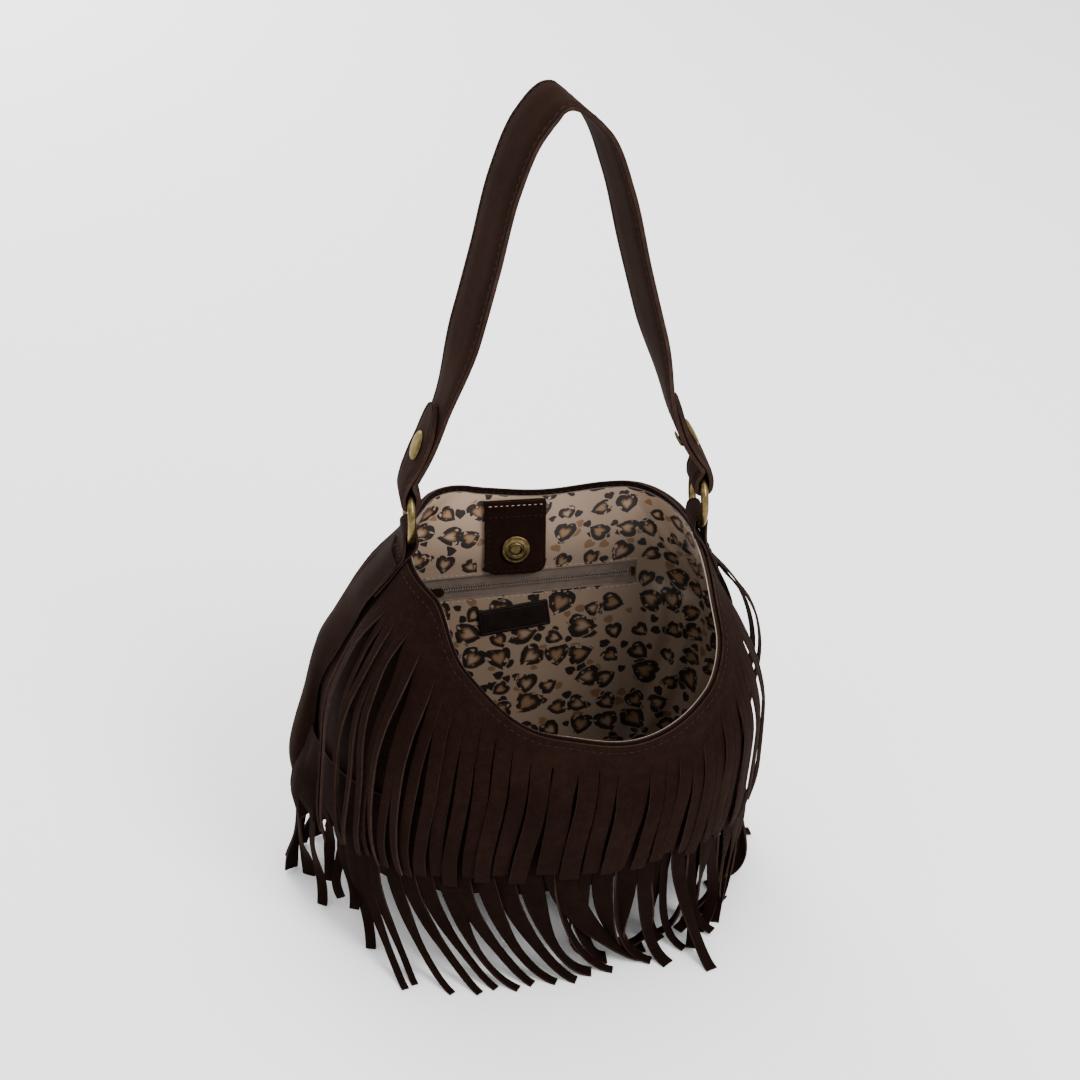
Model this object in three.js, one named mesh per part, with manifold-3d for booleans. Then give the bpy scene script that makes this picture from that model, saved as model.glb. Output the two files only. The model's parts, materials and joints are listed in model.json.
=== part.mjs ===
// Fringed suede shoulder bag, standing open on its base with the strap raised.
// Millimetres, +Z up. The low side of the mouth, the front, faces -Y.
// The origin is on the floor under the bag.
import * as THREE from 'three';
import { mergeVertices } from 'three/addons/utils/BufferGeometryUtils.js';
import Module from 'manifold-3d';

const wasm = await Module();
wasm.setup();

// Driving dimensions

// Suede body: two panels, sewn together down the sides and across the base
const rimHeight = 238;        // mouth edge at the ring corners
const frontDip = 78;          // how far the open front edge sags below the corners
const backDip = 3;            // the same for the back edge
const backShoulder = 5;       // rise of the back edge beside the left ring
const mouthWidth = 168;       // between the two ring corners
const leftBelly = 140;        // widest reach of the slumped left side
const rightBelly = 122;       // widest reach of the right side
const frontBelly = 99;        // forward reach of the front panel
const backBelly = 62;         // rearward reach of the back panel at the mouth
const suede = 1.4;            // suede thickness of the panels
const seamGap = 0.4;          // between the two panels, where the seam thread runs
const seamShift = 6;          // the base seam lies this far behind the middle

// Lining of printed satin, hanging loose inside
const liningCloth = 0.6;
const liningSlack = 3.4;      // between suede and lining, away from the mouth
const hemGap = 0.35;          // between suede and lining at the mouth
const backHem = 3.5;          // suede turned in above the lining along the back edge
const frontHem = 0.8;

// Fringe: an upper tier from the mouth and a lower tier round the belly
const fringeSuede = 1.2;
const upperStrips = 37;
const lowerStrips = 33;
const upperBand = 17;         // uncut band under the mouth edge
const upperTipHeight = 74;    // height of the upper tips above the floor
const backTipRise = 26;       // the back's tips end this much higher at the left seam
const backTipDrop = 8;        // and this much lower at the right one
const lowerTop = 118;         // top edge of the lower tier
const lowerBand = 26;
const lowerSpread = 17;       // how far the lower tips lie outside the wall
const lowerSwirl = 46;        // how far the front tips trail sideways on the floor
const leftFlare = 11;         // extra reach of the lower strips over the slumped left side

// Rings and the suede tabs that hold them
const ringRadius = 16.5;      // to the middle of the wire
const wireRadius = 2.3;
const wireClearance = 0.35;
const ringLift = 24;          // ring centre above the mouth corner
const tabWidth = 22;
const tabSuede = 1.6;
const tabLeg = 26;            // how far the tab runs down the side seam

// Strap: two layers of suede glued and stitched, folded round the rings
const strapWidth = 39;
const strapNeck = 22;         // gathered width inside the ring
const strapThick = 3;
const strapRise = 248;        // crown above the ring centres
const flapLength = 46;        // folded end, from the ring to its round tip
const flapWidth = 34;
const foldGap = 0.35;         // between the folded end and the strap
const strapTwist = 14;        // degrees, how far the raised strap turns out of line

// Rivets that close the folded ends
const rivetCap = 17;
const rivetSeat = 0.7;        // under the cap and the back, where the suede is pressed in
const rivetBack = 10;
const rivetPost = 4;
const rivetHeight = 19;       // above the neck of the strap
const capThick = 1.6;

// Closing tabs with the two halves of a magnetic snap
const closureWidth = 37;
const closureLength = 48;
const closureLayer = 1.1;
const closureShift = -14;     // sideways place of the back tab, zip and patch
const frontTabShift = 6;
const snapDiameter = 18;
const snapThick = 2.6;
const snapBore = 6;
const snapPostLength = 2.4;
const snapDrop = 31;          // snap centre below the tab's sewn edge
const washerThick = 0.6;

// Zip pocket on the back lining
const zipLength = 152;
const zipDrop = 60;           // zip line below the back edge
const zipWindow = 15;
const tapeWidth = 12;
const tapeThick = 0.6;
const tapeOver = 3;           // the tapes pass each end of the opening by this
const coilWidth = 2.2;
const coilThick = 1.6;
const coilGap = 0.3;
const coilShort = 4;          // the coils end this far inside the opening
const stopLength = 2.2;
const sliderLength = 9;
const sliderWidth = 8;
const sliderPlate = 1.1;
const sliderInset = 6;        // from the opening's left end to the closed slider
const bridgeLength = 5;
const bridgeHeight = 2.4;
const bridgeWidth = 2.4;
const pullPin = 0.7;
const pinLength = 5.2;
const pullLength = 22;
const leafHalf = 2.9;         // half the width of the pull
const leafTail = 0.85;        // short enough behind the pin to clear the slider as the pull turns over
const pullHoleLength = 8.6;
const pullHoleWidth = 3.2;
const pocketDepth = 92;
const pocketThick = 0.8;
const pocketCorner = 8;
const pocketInset = 5;        // the pocket is this much narrower than the opening at each end
const pocketHem = 14;
const zipTilt = 2.5;          // degrees, the zip and patch are sewn a little askew
const patchTilt = 7;

// Leather patch under the zip
const patchWidth = 44;
const patchHeight = 18;
const patchThick = 1.4;
const patchDrop = 84;         // patch centre below the back edge

const seat = 0.3;             // gap between pieces that touch

// Materials

function material(color, roughness, metalness) {
  return new THREE.MeshStandardMaterial({ color, roughness, metalness });
}
const suedeBrown = material('#2b1a16', 0.95, 0);
const strapBrown = material('#35211a', 0.92, 0);
const satinPrint = material('#a08f80', 0.55, 0);
const brass = material('#a8955a', 0.3, 1);
const zipTape = material('#6f6056', 0.85, 0);
const patchLeather = material('#1d1614', 0.6, 0);

const bag = new THREE.Group();

function add(name, geometry, look) {
  const piece = new THREE.Mesh(geometry, look);
  piece.name = name;
  bag.add(piece);
  return piece;
}

// Small tools

const radians = THREE.MathUtils.degToRad;
const lerp = THREE.MathUtils.lerp;
const smooth = (x) => THREE.MathUtils.smoothstep(x, 0, 1);

// A smooth curve through [place, value] pairs that never overshoots them
function curveThrough(pairs) {
  const slopes = pairs.map((pair, i) => {
    const secant = (from, to) => (to[1] - from[1]) / (to[0] - from[0]);
    if (i === 0) return secant(pair, pairs[1]);
    if (i === pairs.length - 1) return secant(pairs[i - 1], pair);
    const before = secant(pairs[i - 1], pair);
    const after = secant(pair, pairs[i + 1]);
    return before * after <= 0 ? 0 : (2 * before * after) / (before + after);
  });
  return (place) => {
    const last = pairs.length - 1;
    if (place <= pairs[0][0]) return pairs[0][1];
    if (place >= pairs[last][0]) return pairs[last][1];
    const i = pairs.findIndex((pair) => pair[0] > place) - 1;
    const span = pairs[i + 1][0] - pairs[i][0];
    const t = (place - pairs[i][0]) / span;
    const t2 = t * t;
    const t3 = t2 * t;
    return (2 * t3 - 3 * t2 + 1) * pairs[i][1] + (t3 - 2 * t2 + t) * span * slopes[i]
      + (3 * t2 - 2 * t3) * pairs[i + 1][1] + (t3 - t2) * span * slopes[i + 1];
  };
}

function geometryFrom(points, faces) {
  const geometry = new THREE.BufferGeometry();
  geometry.setAttribute('position', new THREE.Float32BufferAttribute(points.flatMap((p) => [p.x, p.y, p.z]), 3));
  geometry.setIndex(faces.flat());
  return geometry;
}

// A closed solid between two sheets of points, row by row. hasCell says which cells are cloth.
function sheetSolid(front, back, hasCell = () => true) {
  const rows = front.length;
  const columns = front[0].length;
  const faces = [];
  const frontAt = (i, j) => i * columns + j;
  const backAt = (i, j) => rows * columns + i * columns + j;
  const quad = (a, b, c, d) => faces.push([a, b, c], [a, c, d]);
  const cloth = (i, j) => i >= 0 && j >= 0 && i < rows - 1 && j < columns - 1 && hasCell(i, j);
  for (let i = 0; i < rows - 1; i++) {
    for (let j = 0; j < columns - 1; j++) {
      if (!cloth(i, j)) continue;
      quad(frontAt(i, j), frontAt(i + 1, j), frontAt(i + 1, j + 1), frontAt(i, j + 1));
      quad(backAt(i, j), backAt(i, j + 1), backAt(i + 1, j + 1), backAt(i + 1, j));
      if (!cloth(i - 1, j)) quad(frontAt(i, j), frontAt(i, j + 1), backAt(i, j + 1), backAt(i, j));
      if (!cloth(i + 1, j)) quad(frontAt(i + 1, j + 1), frontAt(i + 1, j), backAt(i + 1, j), backAt(i + 1, j + 1));
      if (!cloth(i, j - 1)) quad(frontAt(i + 1, j), frontAt(i, j), backAt(i, j), backAt(i + 1, j));
      if (!cloth(i, j + 1)) quad(frontAt(i, j + 1), frontAt(i + 1, j + 1), backAt(i + 1, j + 1), backAt(i, j + 1));
    }
  }
  const points = [...front.flat(), ...back.flat()];
  const used = [...new Set(faces.flat())].sort((a, b) => a - b);
  const renumbered = new Map(used.map((old, fresh) => [old, fresh]));
  return geometryFrom(used.map((k) => points[k]), faces.map((face) => face.map((k) => renumbered.get(k))));
}

// A ribbon of four-cornered sections, closed at both ends.
// Each frame has a point, its width and thickness directions.
function ribbonSolid(frames) {
  const points = [];
  const faces = [];
  for (const { at, across, through, width, thick } of frames) {
    for (const [w, t] of [[-0.5, -0.5], [0.5, -0.5], [0.5, 0.5], [-0.5, 0.5]]) {
      points.push(at.clone().addScaledVector(across, w * width).addScaledVector(through, t * thick));
    }
  }
  for (let i = 0; i + 1 < frames.length; i++) {
    for (let k = 0; k < 4; k++) {
      const a = 4 * i + k;
      const b = 4 * i + ((k + 1) % 4);
      faces.push([a, b, b + 4], [a, b + 4, a + 4]);
    }
  }
  const end = 4 * (frames.length - 1);
  faces.push([0, 2, 1], [0, 3, 2], [end, end + 1, end + 2], [end, end + 2, end + 3]);
  return geometryFrom(points, faces);
}

function solidOf(geometry) {
  const bare = geometry.clone();
  bare.deleteAttribute('normal');
  bare.deleteAttribute('uv');
  const welded = mergeVertices(bare, 1e-4);
  return new wasm.Manifold(new wasm.Mesh({
    numProp: 3,
    vertProperties: new Float32Array(welded.attributes.position.array),
    triVerts: new Uint32Array(welded.index.array),
  }));
}

function geometryOf(solid) {
  const mesh = solid.getMesh();
  const geometry = new THREE.BufferGeometry();
  geometry.setAttribute('position', new THREE.BufferAttribute(new Float32Array(mesh.vertProperties), 3));
  geometry.setIndex(new THREE.BufferAttribute(new Uint32Array(mesh.triVerts), 1));
  return geometry;
}

// Steady, repeatable unevenness between -1 and 1
function uneven(index, salt) {
  const wave = Math.sin(index * 12.9898 + salt * 78.233) * 43758.5453;
  return 2 * (wave - Math.floor(wave)) - 1;
}

// Body shape

// Reach of the wall at each height, as shares of the mouth height, from the floor up
const mouthHalf = mouthWidth / 2;
const leftReach = curveThrough([[0, 0.7 * leftBelly], [0.05, 0.81 * leftBelly], [0.13, 0.89 * leftBelly],
  [0.25, 0.955 * leftBelly], [0.38, leftBelly], [0.59, 0.975 * leftBelly], [0.69, 0.94 * leftBelly],
  [0.76, 0.885 * leftBelly], [0.86, 0.785 * leftBelly], [0.93, 0.69 * leftBelly], [1, mouthHalf]]);
const rightReach = curveThrough([[0, 0.5 * rightBelly], [0.05, 0.65 * rightBelly], [0.13, 0.81 * rightBelly],
  [0.23, 0.92 * rightBelly], [0.38, 0.99 * rightBelly], [0.55, rightBelly], [0.66, 0.97 * rightBelly],
  [0.79, 0.885 * rightBelly], [0.88, 0.79 * rightBelly], [1, mouthHalf]]);
const frontReach = curveThrough([[0, 0.27 * frontBelly], [0.05, 0.48 * frontBelly], [0.13, 0.68 * frontBelly],
  [0.23, 0.84 * frontBelly], [0.38, 0.955 * frontBelly], [0.55, frontBelly], [0.69, 0.98 * frontBelly],
  [0.84, 0.85 * frontBelly], [0.9, 0.77 * frontBelly], [1, 0.65 * frontBelly]]);
const backReach = curveThrough([[0, 0.45 * backBelly], [0.05, 0.62 * backBelly], [0.13, 0.74 * backBelly],
  [0.25, 0.82 * backBelly], [0.45, 0.86 * backBelly], [0.75, 0.92 * backBelly], [1, backBelly]]);
// The back wall is flat between these two, where the zip is sewn
const flatLeft = curveThrough([[0, -0.3 * leftBelly], [0.25, -0.5 * leftBelly], [0.55, -0.63 * leftBelly],
  [0.8, -0.62 * leftBelly], [1, -0.5 * mouthHalf]]);
const flatRight = curveThrough([[0, 0.2 * rightBelly], [0.25, 0.42 * rightBelly], [0.55, 0.55 * rightBelly],
  [0.8, 0.56 * rightBelly], [1, 0.6 * mouthHalf]]);

const frontSquareness = curveThrough([[0, 1.7], [0.12, 1.9], [0.3, 2.3], [1, 2.3]]);
const cornerShare = 0.27;

// Mouth edge, from the left ring corner to the right one
const frontEdge = curveThrough([[0, rimHeight], [0.2, rimHeight - 0.08 * frontDip],
  [0.35, rimHeight - 0.47 * frontDip],
  [0.48, rimHeight - 0.86 * frontDip], [0.59, rimHeight - frontDip], [0.74, rimHeight - 0.8 * frontDip],
  [0.82, rimHeight - 0.57 * frontDip], [0.9, rimHeight - 0.26 * frontDip], [1, rimHeight]]);
const backEdge = curveThrough([[0, rimHeight], [0.07, rimHeight], [0.17, rimHeight + backShoulder],
  [0.33, rimHeight], [0.5, rimHeight - backDip], [0.7, rimHeight], [0.83, rimHeight], [1, rimHeight]]);

function frontSection(u, share) {
  const left = -leftReach(share);
  const right = rightReach(share);
  const angle = Math.PI * (1 - u);
  const cosine = Math.cos(angle);
  const power = 2 / frontSquareness(share);
  const x = (left + right) / 2 + ((right - left) / 2) * Math.sign(cosine) * Math.abs(cosine) ** power;
  const y = -frontReach(share) * Math.max(Math.sin(angle), 0) ** power;
  return [x, y - seamGap / 2];
}

function backSection(u, share) {
  const left = -leftReach(share);
  const right = rightReach(share);
  const depth = backReach(share);
  if (u < cornerShare) {
    const angle = ((u / cornerShare) * Math.PI) / 2;
    return [flatLeft(share) - (flatLeft(share) - left) * Math.cos(angle), depth * Math.sin(angle) + seamGap / 2];
  }
  if (u > 1 - cornerShare) {
    const angle = (((1 - u) / cornerShare) * Math.PI) / 2;
    return [flatRight(share) + (right - flatRight(share)) * Math.cos(angle), depth * Math.sin(angle) + seamGap / 2];
  }
  const along = (u - cornerShare) / (1 - 2 * cornerShare);
  return [lerp(flatLeft(share), flatRight(share), along), depth + seamGap / 2];
}

// Rows of a panel: from the mouth (1) down to the floor (0), then in to the base seam (-1)
const wallRows = [1, 0.93, 0.85, 0.75, 0.64, 0.52, 0.4, 0.28, 0.17, 0.09, 0.04, 0, -0.5, -1];
const liningRows = [1, 0.93, 0.85, 0.75, 0.52, 0.28, 0.09, 0.04, 0, -1];
const wallColumns = 20;
const seamInset = 0.78;       // the base seam starts this share of the way out to the base's ends

// One side of the body. at(u, level, lift) is a point lift outside the suede; level counts as the rows do.
function makeWall(section, edge, side) {
  const exact = (u, level) => {
    const height = Math.max(level, 0) * edge(u);
    const [x, y] = section(u, height / rimHeight);
    const inward = Math.max(-level, 0);
    const seamX = seamInset * x;
    return new THREE.Vector3(lerp(x, seamX, inward), lerp(y, seamShift + (side * seamGap) / 2, inward), height);
  };
  const exactRow = (level) => Array.from({ length: wallColumns + 1 }, (_, j) => exact(j / wallColumns, level));
  const grid = wallRows.map(exactRow);
  const normals = grid.map((row, i) => row.map((_, j) => {
    const last = grid.length - 1;
    const down = grid[Math.min(i + 1, last)][j].clone().sub(grid[Math.max(i - 1, 0)][j]).normalize();
    const along = row[Math.min(j + 1, wallColumns)].clone().sub(row[Math.max(j - 1, 0)]).normalize();
    const normal = down.cross(along).multiplyScalar(-side).normalize();
    if (j === 0 || j === wallColumns) normal.setY(0).normalize();
    return wallRows[i] < 0 ? new THREE.Vector3(0, 0, -1) : normal;
  }));
  const mix = (table, u, level) => {
    const below = wallRows.findIndex((rowLevel) => rowLevel < level);
    const i = below < 0 ? wallRows.length - 2 : Math.max(below - 1, 0);
    const t = THREE.MathUtils.clamp((level - wallRows[i]) / (wallRows[i + 1] - wallRows[i]), 0, 1);
    const j = Math.min(Math.floor(u * wallColumns), wallColumns - 1);
    const s = u * wallColumns - j;
    const upper = table[i][j].clone().lerp(table[i][j + 1], s);
    return upper.lerp(table[i + 1][j].clone().lerp(table[i + 1][j + 1], s), t);
  };
  return {
    side,
    edge,
    at: (u, level, lift) => mix(grid, u, level).addScaledVector(mix(normals, u, level).normalize(), lift),
    normal: (u, level) => mix(normals, u, level).normalize(),
    atHeight(u, height, lift) {
      return this.at(u, height / edge(u), lift);
    },
  };
}

const frontWall = makeWall(frontSection, frontEdge, -1);
const backWall = makeWall(backSection, backEdge, 1);

function wallSheet(wall, levels, liftOuter, liftInner, hem = 0) {
  const layer = (lift) => levels.map((level) => Array.from({ length: wallColumns + 1 }, (_, j) => {
    const u = j / wallColumns;
    const lowered = level === 1 ? 1 - hem / wall.edge(u) : level;
    return wall.at(u, lowered, lift(level));
  }));
  const outer = layer(liftOuter);
  const inner = layer(liftInner);
  return wall.side < 0 ? sheetSolid(outer, inner) : sheetSolid(inner, outer);
}

// Lining lies close to the suede at the mouth and hangs free below
function liningGap(level) {
  return lerp(hemGap, liningSlack, smooth((1 - level) / 0.16));
}

add('front_panel', wallSheet(frontWall, wallRows, () => 0, () => -suede), suedeBrown);
add('back_panel', wallSheet(backWall, wallRows, () => 0, () => -suede), suedeBrown);

const liningOuter = (level) => -suede - liningGap(level);
const liningInner = (level) => liningOuter(level) - liningCloth;
const frontLining = wallSheet(frontWall, liningRows, liningOuter, liningInner, frontHem);
const backLining = wallSheet(backWall, liningRows, liningOuter, liningInner, backHem);
add('front_lining', frontLining, satinPrint);

// Places on the lining

// A frame on the inside of a wall: X to the right as seen from inside, Y up the wall, Z into the bag
function insideFrame(wall, x, heightTop, heightLow, liftAt, tilt = 0) {
  const columnAt = (height) => {
    let low = 0;
    let high = 1;
    for (let k = 0; k < 30; k++) {
      const middle = (low + high) / 2;
      if (wall.atHeight(middle, height, 0).x < x) low = middle;
      else high = middle;
    }
    return wall.atHeight(low, height, liftAt(height / wall.edge(low)));
  };
  const top = columnAt(heightTop);
  const low = columnAt(heightLow);
  const up = top.clone().sub(low).setX(0).normalize();
  const right = new THREE.Vector3(wall.side, 0, 0);
  const inward = right.clone().cross(up);
  const middle = top.clone().add(low).multiplyScalar(0.5).setX(x);
  right.applyAxisAngle(inward, radians(tilt));
  up.applyAxisAngle(inward, radians(tilt));
  return new THREE.Matrix4().makeBasis(right, up, inward).setPosition(middle);
}

function placed(geometry, frame, x = 0, y = 0, z = 0) {
  return geometry.clone().translate(x, y, z).applyMatrix4(frame);
}

function plate(width, height, thick, corner, cornerTop = corner) {
  const w = width / 2;
  const h = height / 2;
  const shape = new THREE.Shape();
  shape.moveTo(-w + corner, -h);
  shape.lineTo(w - corner, -h);
  shape.absarc(w - corner, -h + corner, corner, -Math.PI / 2, 0);
  shape.lineTo(w, h - cornerTop);
  if (cornerTop > 0) shape.absarc(w - cornerTop, h - cornerTop, cornerTop, 0, Math.PI / 2);
  shape.lineTo(-w + cornerTop, h);
  if (cornerTop > 0) shape.absarc(-w + cornerTop, h - cornerTop, cornerTop, Math.PI / 2, Math.PI);
  shape.lineTo(-w, -h + corner);
  shape.absarc(-w + corner, -h + corner, corner, Math.PI, 1.5 * Math.PI);
  return new THREE.ExtrudeGeometry(shape, { depth: thick, bevelEnabled: false, curveSegments: 5 });
}

function lathe(profile, segments) {
  const points = profile.map(([r, y]) => new THREE.Vector2(r, y));
  return new THREE.LatheGeometry(points, segments).rotateX(Math.PI / 2);
}

const backTop = rimHeight - backDip;

// Zip pocket

const zipHeight = backTop - zipDrop;
const zipSpan = [zipHeight + zipWindow, zipHeight - zipWindow];
const zipFrame = insideFrame(backWall, closureShift, ...zipSpan, liningInner, zipTilt);
const tapeLevel = -liningCloth - seat - tapeThick;      // the tape lies behind the lining
const zipOpening = new THREE.BoxGeometry(zipLength, zipWindow, 8);
const openedLining = solidOf(backLining).subtract(solidOf(placed(zipOpening, zipFrame)));
add('back_lining', geometryOf(openedLining), satinPrint);

const tape = new THREE.BoxGeometry(zipLength + 2 * tapeOver, tapeWidth, tapeThick).translate(0, 0, tapeThick / 2);
for (const [name, way] of [['zip_tape_upper', 1], ['zip_tape_lower', -1]]) {
  add(name, placed(tape, zipFrame, 0, way * (tapeWidth / 2 + coilGap / 2), tapeLevel), zipTape);
}

const coilBase = tapeLevel + tapeThick + seat;
const coil = new THREE.BoxGeometry(zipLength - 2 * coilShort, coilWidth, coilThick).translate(0, 0, coilThick / 2);
for (const [name, way] of [['zip_coil_upper', 1], ['zip_coil_lower', -1]]) {
  add(name, placed(coil, zipFrame, 0, way * (coilGap + coilWidth) / 2, coilBase), zipTape);
}

// Stops at the two ends of the coils
const stopWidth = 2 * coilWidth + 1;
for (const [name, way] of [['zip_stop_left', -1], ['zip_stop_right', 1]]) {
  const stop = new THREE.BoxGeometry(stopLength, stopWidth, coilThick).translate(0, 0, coilThick / 2);
  add(name, placed(stop, zipFrame, way * (zipLength / 2 - stopLength), 0, coilBase), brass);
}

// Slider: a top plate with two side rails and a bridge, over the coils at the closed, left end
const sliderStart = -zipLength / 2 + sliderInset + sliderLength / 2;
const sliderBase = coilBase + coilThick + seat;
const railInner = coilWidth + coilGap / 2 + seat;
const railWidth = sliderWidth / 2 - railInner;
function sliderGeometry() {
  const top = plate(sliderLength, sliderWidth, sliderPlate, 1.2);
  let solid = solidOf(top.clone().translate(0, 0, sliderBase));
  const railHeight = coilThick + seat + 0.2;
  for (const way of [-1, 1]) {
    const rail = new THREE.BoxGeometry(sliderLength * 0.9, railWidth, railHeight);
    rail.translate(0, way * (railInner + railWidth / 2), sliderBase - railHeight / 2 + 0.1);
    solid = solid.add(solidOf(rail));
  }
  const bridge = new THREE.BoxGeometry(bridgeLength, bridgeWidth, bridgeHeight);
  bridge.translate(0, 0, sliderBase + sliderPlate + bridgeHeight / 2 - 0.1);
  const bore = new THREE.CylinderGeometry(pullPin + 0.25, pullPin + 0.25, 4, 16);
  bore.translate(0, 0, sliderBase + sliderPlate + bridgeHeight / 2 - 0.1);
  return geometryOf(solid.add(solidOf(bridge)).subtract(solidOf(bore)));
}
add('zip_slider', placed(sliderGeometry(), zipFrame, sliderStart), brass);

// Pull: a leaf that turns on a pin through the bridge, lying along the closed coils
function pullGeometry() {
  const round = pullLength - leafHalf;
  const leaf = new THREE.Shape();
  leaf.moveTo(-leafTail, -leafHalf);
  leaf.lineTo(round, -leafHalf);
  leaf.absarc(round, 0, leafHalf, -Math.PI / 2, Math.PI / 2);
  leaf.lineTo(-leafTail, leafHalf);
  const leafSolid = solidOf(new THREE.ExtrudeGeometry(leaf, { depth: 1, bevelEnabled: false, curveSegments: 6 })
    .translate(0, 0, -0.5));
  const hole = new THREE.BoxGeometry(pullHoleLength, pullHoleWidth, 4).translate(1, 0, 0);
  const pin = new THREE.CylinderGeometry(pullPin, pullPin, pinLength, 16);
  return geometryOf(leafSolid.subtract(solidOf(hole)).add(solidOf(pin)));
}
const pinLevel = sliderBase + sliderPlate + bridgeHeight / 2 - 0.1;
add('zip_pull', placed(pullGeometry(), zipFrame, sliderStart, 0, pinLevel), brass);

// Pocket bag, folded flat between the back panel and its lining
const pocketFrame = insideFrame(backWall, closureShift, zipHeight, zipHeight - pocketDepth, () => -suede - seat);
const pocketSag = 0.9;
const pocketBag = plate(zipLength - 2 * pocketInset, pocketDepth - pocketHem, pocketThick, pocketCorner);
add('zip_pocket', placed(pocketBag, pocketFrame, 0, 1 - pocketHem, pocketSag), satinPrint);

// Closing tabs and magnetic snap

// Behind each tab the lining bulges by this much
const backBulge = 1.4;
const frontBulge = 2.4;
const closureThick = 2 * closureLayer + washerThick + 2 * seat;
function closingTab(prefix, wall, x, top, lift, half) {
  const frame = insideFrame(wall, x, top, top - closureLength, liningInner);
  const face = plate(closureWidth, closureLength, closureLayer, 7, 0);
  add(`${prefix}_tab_backing`, placed(face, frame, 0, 0, lift), suedeBrown);
  add(`${prefix}_tab_face`, placed(face, frame, 0, 0, lift + closureThick - closureLayer), suedeBrown);
  const snapY = closureLength / 2 - snapDrop;
  const washer = lathe([[2.5, 0], [snapDiameter / 2 - 1, 0], [snapDiameter / 2 - 1, washerThick], [2.5, washerThick],
    [2.5, 0]], 20);
  add(`${prefix}_snap_washer`, placed(washer, frame, 0, snapY, lift + closureLayer + seat), brass);
  add(`${prefix}_snap_${half}`, placed(snapGeometry(half), frame, 0, snapY, lift + closureThick + seat), brass);
}

function snapGeometry(half) {
  const r = snapDiameter / 2;
  const bore = snapBore / 2;
  if (half === 'socket') {
    return lathe([[0, 0], [r, 0], [r, 0.7 * snapThick], [r - 0.9, snapThick], [bore + 1.4, snapThick],
      [bore + 0.9, 0.8 * snapThick], [bore, 0.8 * snapThick], [bore, 0.25 * snapThick], [0, 0.25 * snapThick]], 24);
  }
  return lathe([[0, 0], [r, 0], [r, 0.5 * snapThick], [r - 0.7, 0.65 * snapThick], [bore - 0.4, 0.65 * snapThick],
    [bore - 0.4, 0.65 * snapThick + snapPostLength - 0.5], [bore - 0.9, 0.65 * snapThick + snapPostLength],
    [0, 0.65 * snapThick + snapPostLength]], 24);
}

const frontTop = frontEdge(0.55);
closingTab('back', backWall, closureShift, backTop - 4, backBulge, 'socket');
closingTab('front', frontWall, frontTabShift, frontTop - 4, frontBulge, 'stud');

// Leather patch

const patchHigh = backTop - patchDrop + patchHeight / 2;
const patchFrame = insideFrame(backWall, closureShift, patchHigh, patchHigh - patchHeight, liningInner,
  patchTilt);
add('leather_patch', placed(plate(patchWidth, patchHeight, patchThick, 1.2), patchFrame, 0, 0, seat + 0.2),
  patchLeather);

// Fringe

// A band with strips cut from it. edgeAt(u, row, i, way) is one edge of strip i there, through its outward direction.
function fringeGeometry(side, strips, rowCount, fill, isUncut, edgeAt) {
  const sheets = [1, -1].map((face) => Array.from({ length: rowCount }, (_, row) => {
    const points = [];
    for (let i = 0; i < strips; i++) {
      const u = (i + 0.5) / strips;
      for (const way of [-1, 1]) {
        const { at, through } = edgeAt(u + (way * fill(u, row)) / (2 * strips), row, i, way);
        points.push(at.addScaledVector(through, (face * fringeSuede) / 2));
      }
    }
    return points;
  }));
  const isCloth = (row, column) => column % 2 === 0 || isUncut(row, (column + 1) / (2 * strips));
  return side < 0 ? sheetSolid(sheets[0], sheets[1], isCloth) : sheetSolid(sheets[1], sheets[0], isCloth);
}

// Level direction straight out from the wall
function outwardAt(wall, u, height) {
  return wall.normal(u, height / wall.edge(u)).setZ(0).normalize();
}

// Upper tier: the strips hang from the band, lie over the belly and stand off it towards their tips
const upperHang = [0, 0, 0.14, 0.34, 0.64, 1];
const upperLift = 1.1;
const sideSlant = 1.7;        // every second strip lies over its neighbours by this
function upperFringe(wall, from, to, driftAt, tipAt, bowAt, uncutTo) {
  const edgeAt = (share, row, i, way) => {
    const hang = upperHang[row];
    const u = lerp(from, to, share);
    const drifted = u + driftAt(u) * hang + 0.006 * uneven(i, 1) * hang ** 1.5;
    const top = wall.edge(u) - 1.5;
    const tip = tipAt(u) + 5 * uneven(i, 2);
    const height = row === 0 ? top : lerp(top - upperBand, tip, hang);
    const stagger = (i % 2) * sideSlant * smooth(4 * hang);
    const turn = way * (0.6 + 2 * smooth((0.2 - u) / 0.12)) * uneven(i, 3) * hang;
    const lift = upperLift + fringeSuede / 2 + 4.5 * smooth(2 * hang) + 3.5 * hang * hang + bowAt(u, hang) + stagger + turn;
    return { at: wall.atHeight(drifted, height, lift), through: outwardAt(wall, drifted, height) };
  };
  const fill = (u, row) => (row === 0 ? 0.95 : 0.95 - 0.1 * smooth((0.16 - u) / 0.1) * upperHang[row]);
  return fringeGeometry(wall.side, upperStrips, upperHang.length, fill, uncutTo, edgeAt);
}
const frontDrift = curveThrough([[0.05, 0.08], [0.2, 0.02], [0.4, -0.03], [0.97, -0.05]]);
const backDrift = curveThrough([[0.045, -0.03], [0.2, 0], [0.8, 0], [0.955, 0.03]]);
const frontTips = curveThrough([[0, upperTipHeight + 8], [0.3, upperTipHeight - 4], [0.7, upperTipHeight],
  [1, upperTipHeight - 6]]);
const backTips = curveThrough([[0, upperTipHeight + backTipRise], [0.2, upperTipHeight],
  [1, upperTipHeight - backTipDrop]]);
const rightBow = (u, hang) => 9 * smooth((u - 0.84) / 0.12) * Math.sin(Math.PI * Math.min(hang * 1.15, 1));
add('front_upper_fringe', upperFringe(frontWall, 0.05, 0.955, frontDrift, frontTips, () => 0, (row) => row < 1),
  suedeBrown);
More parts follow.
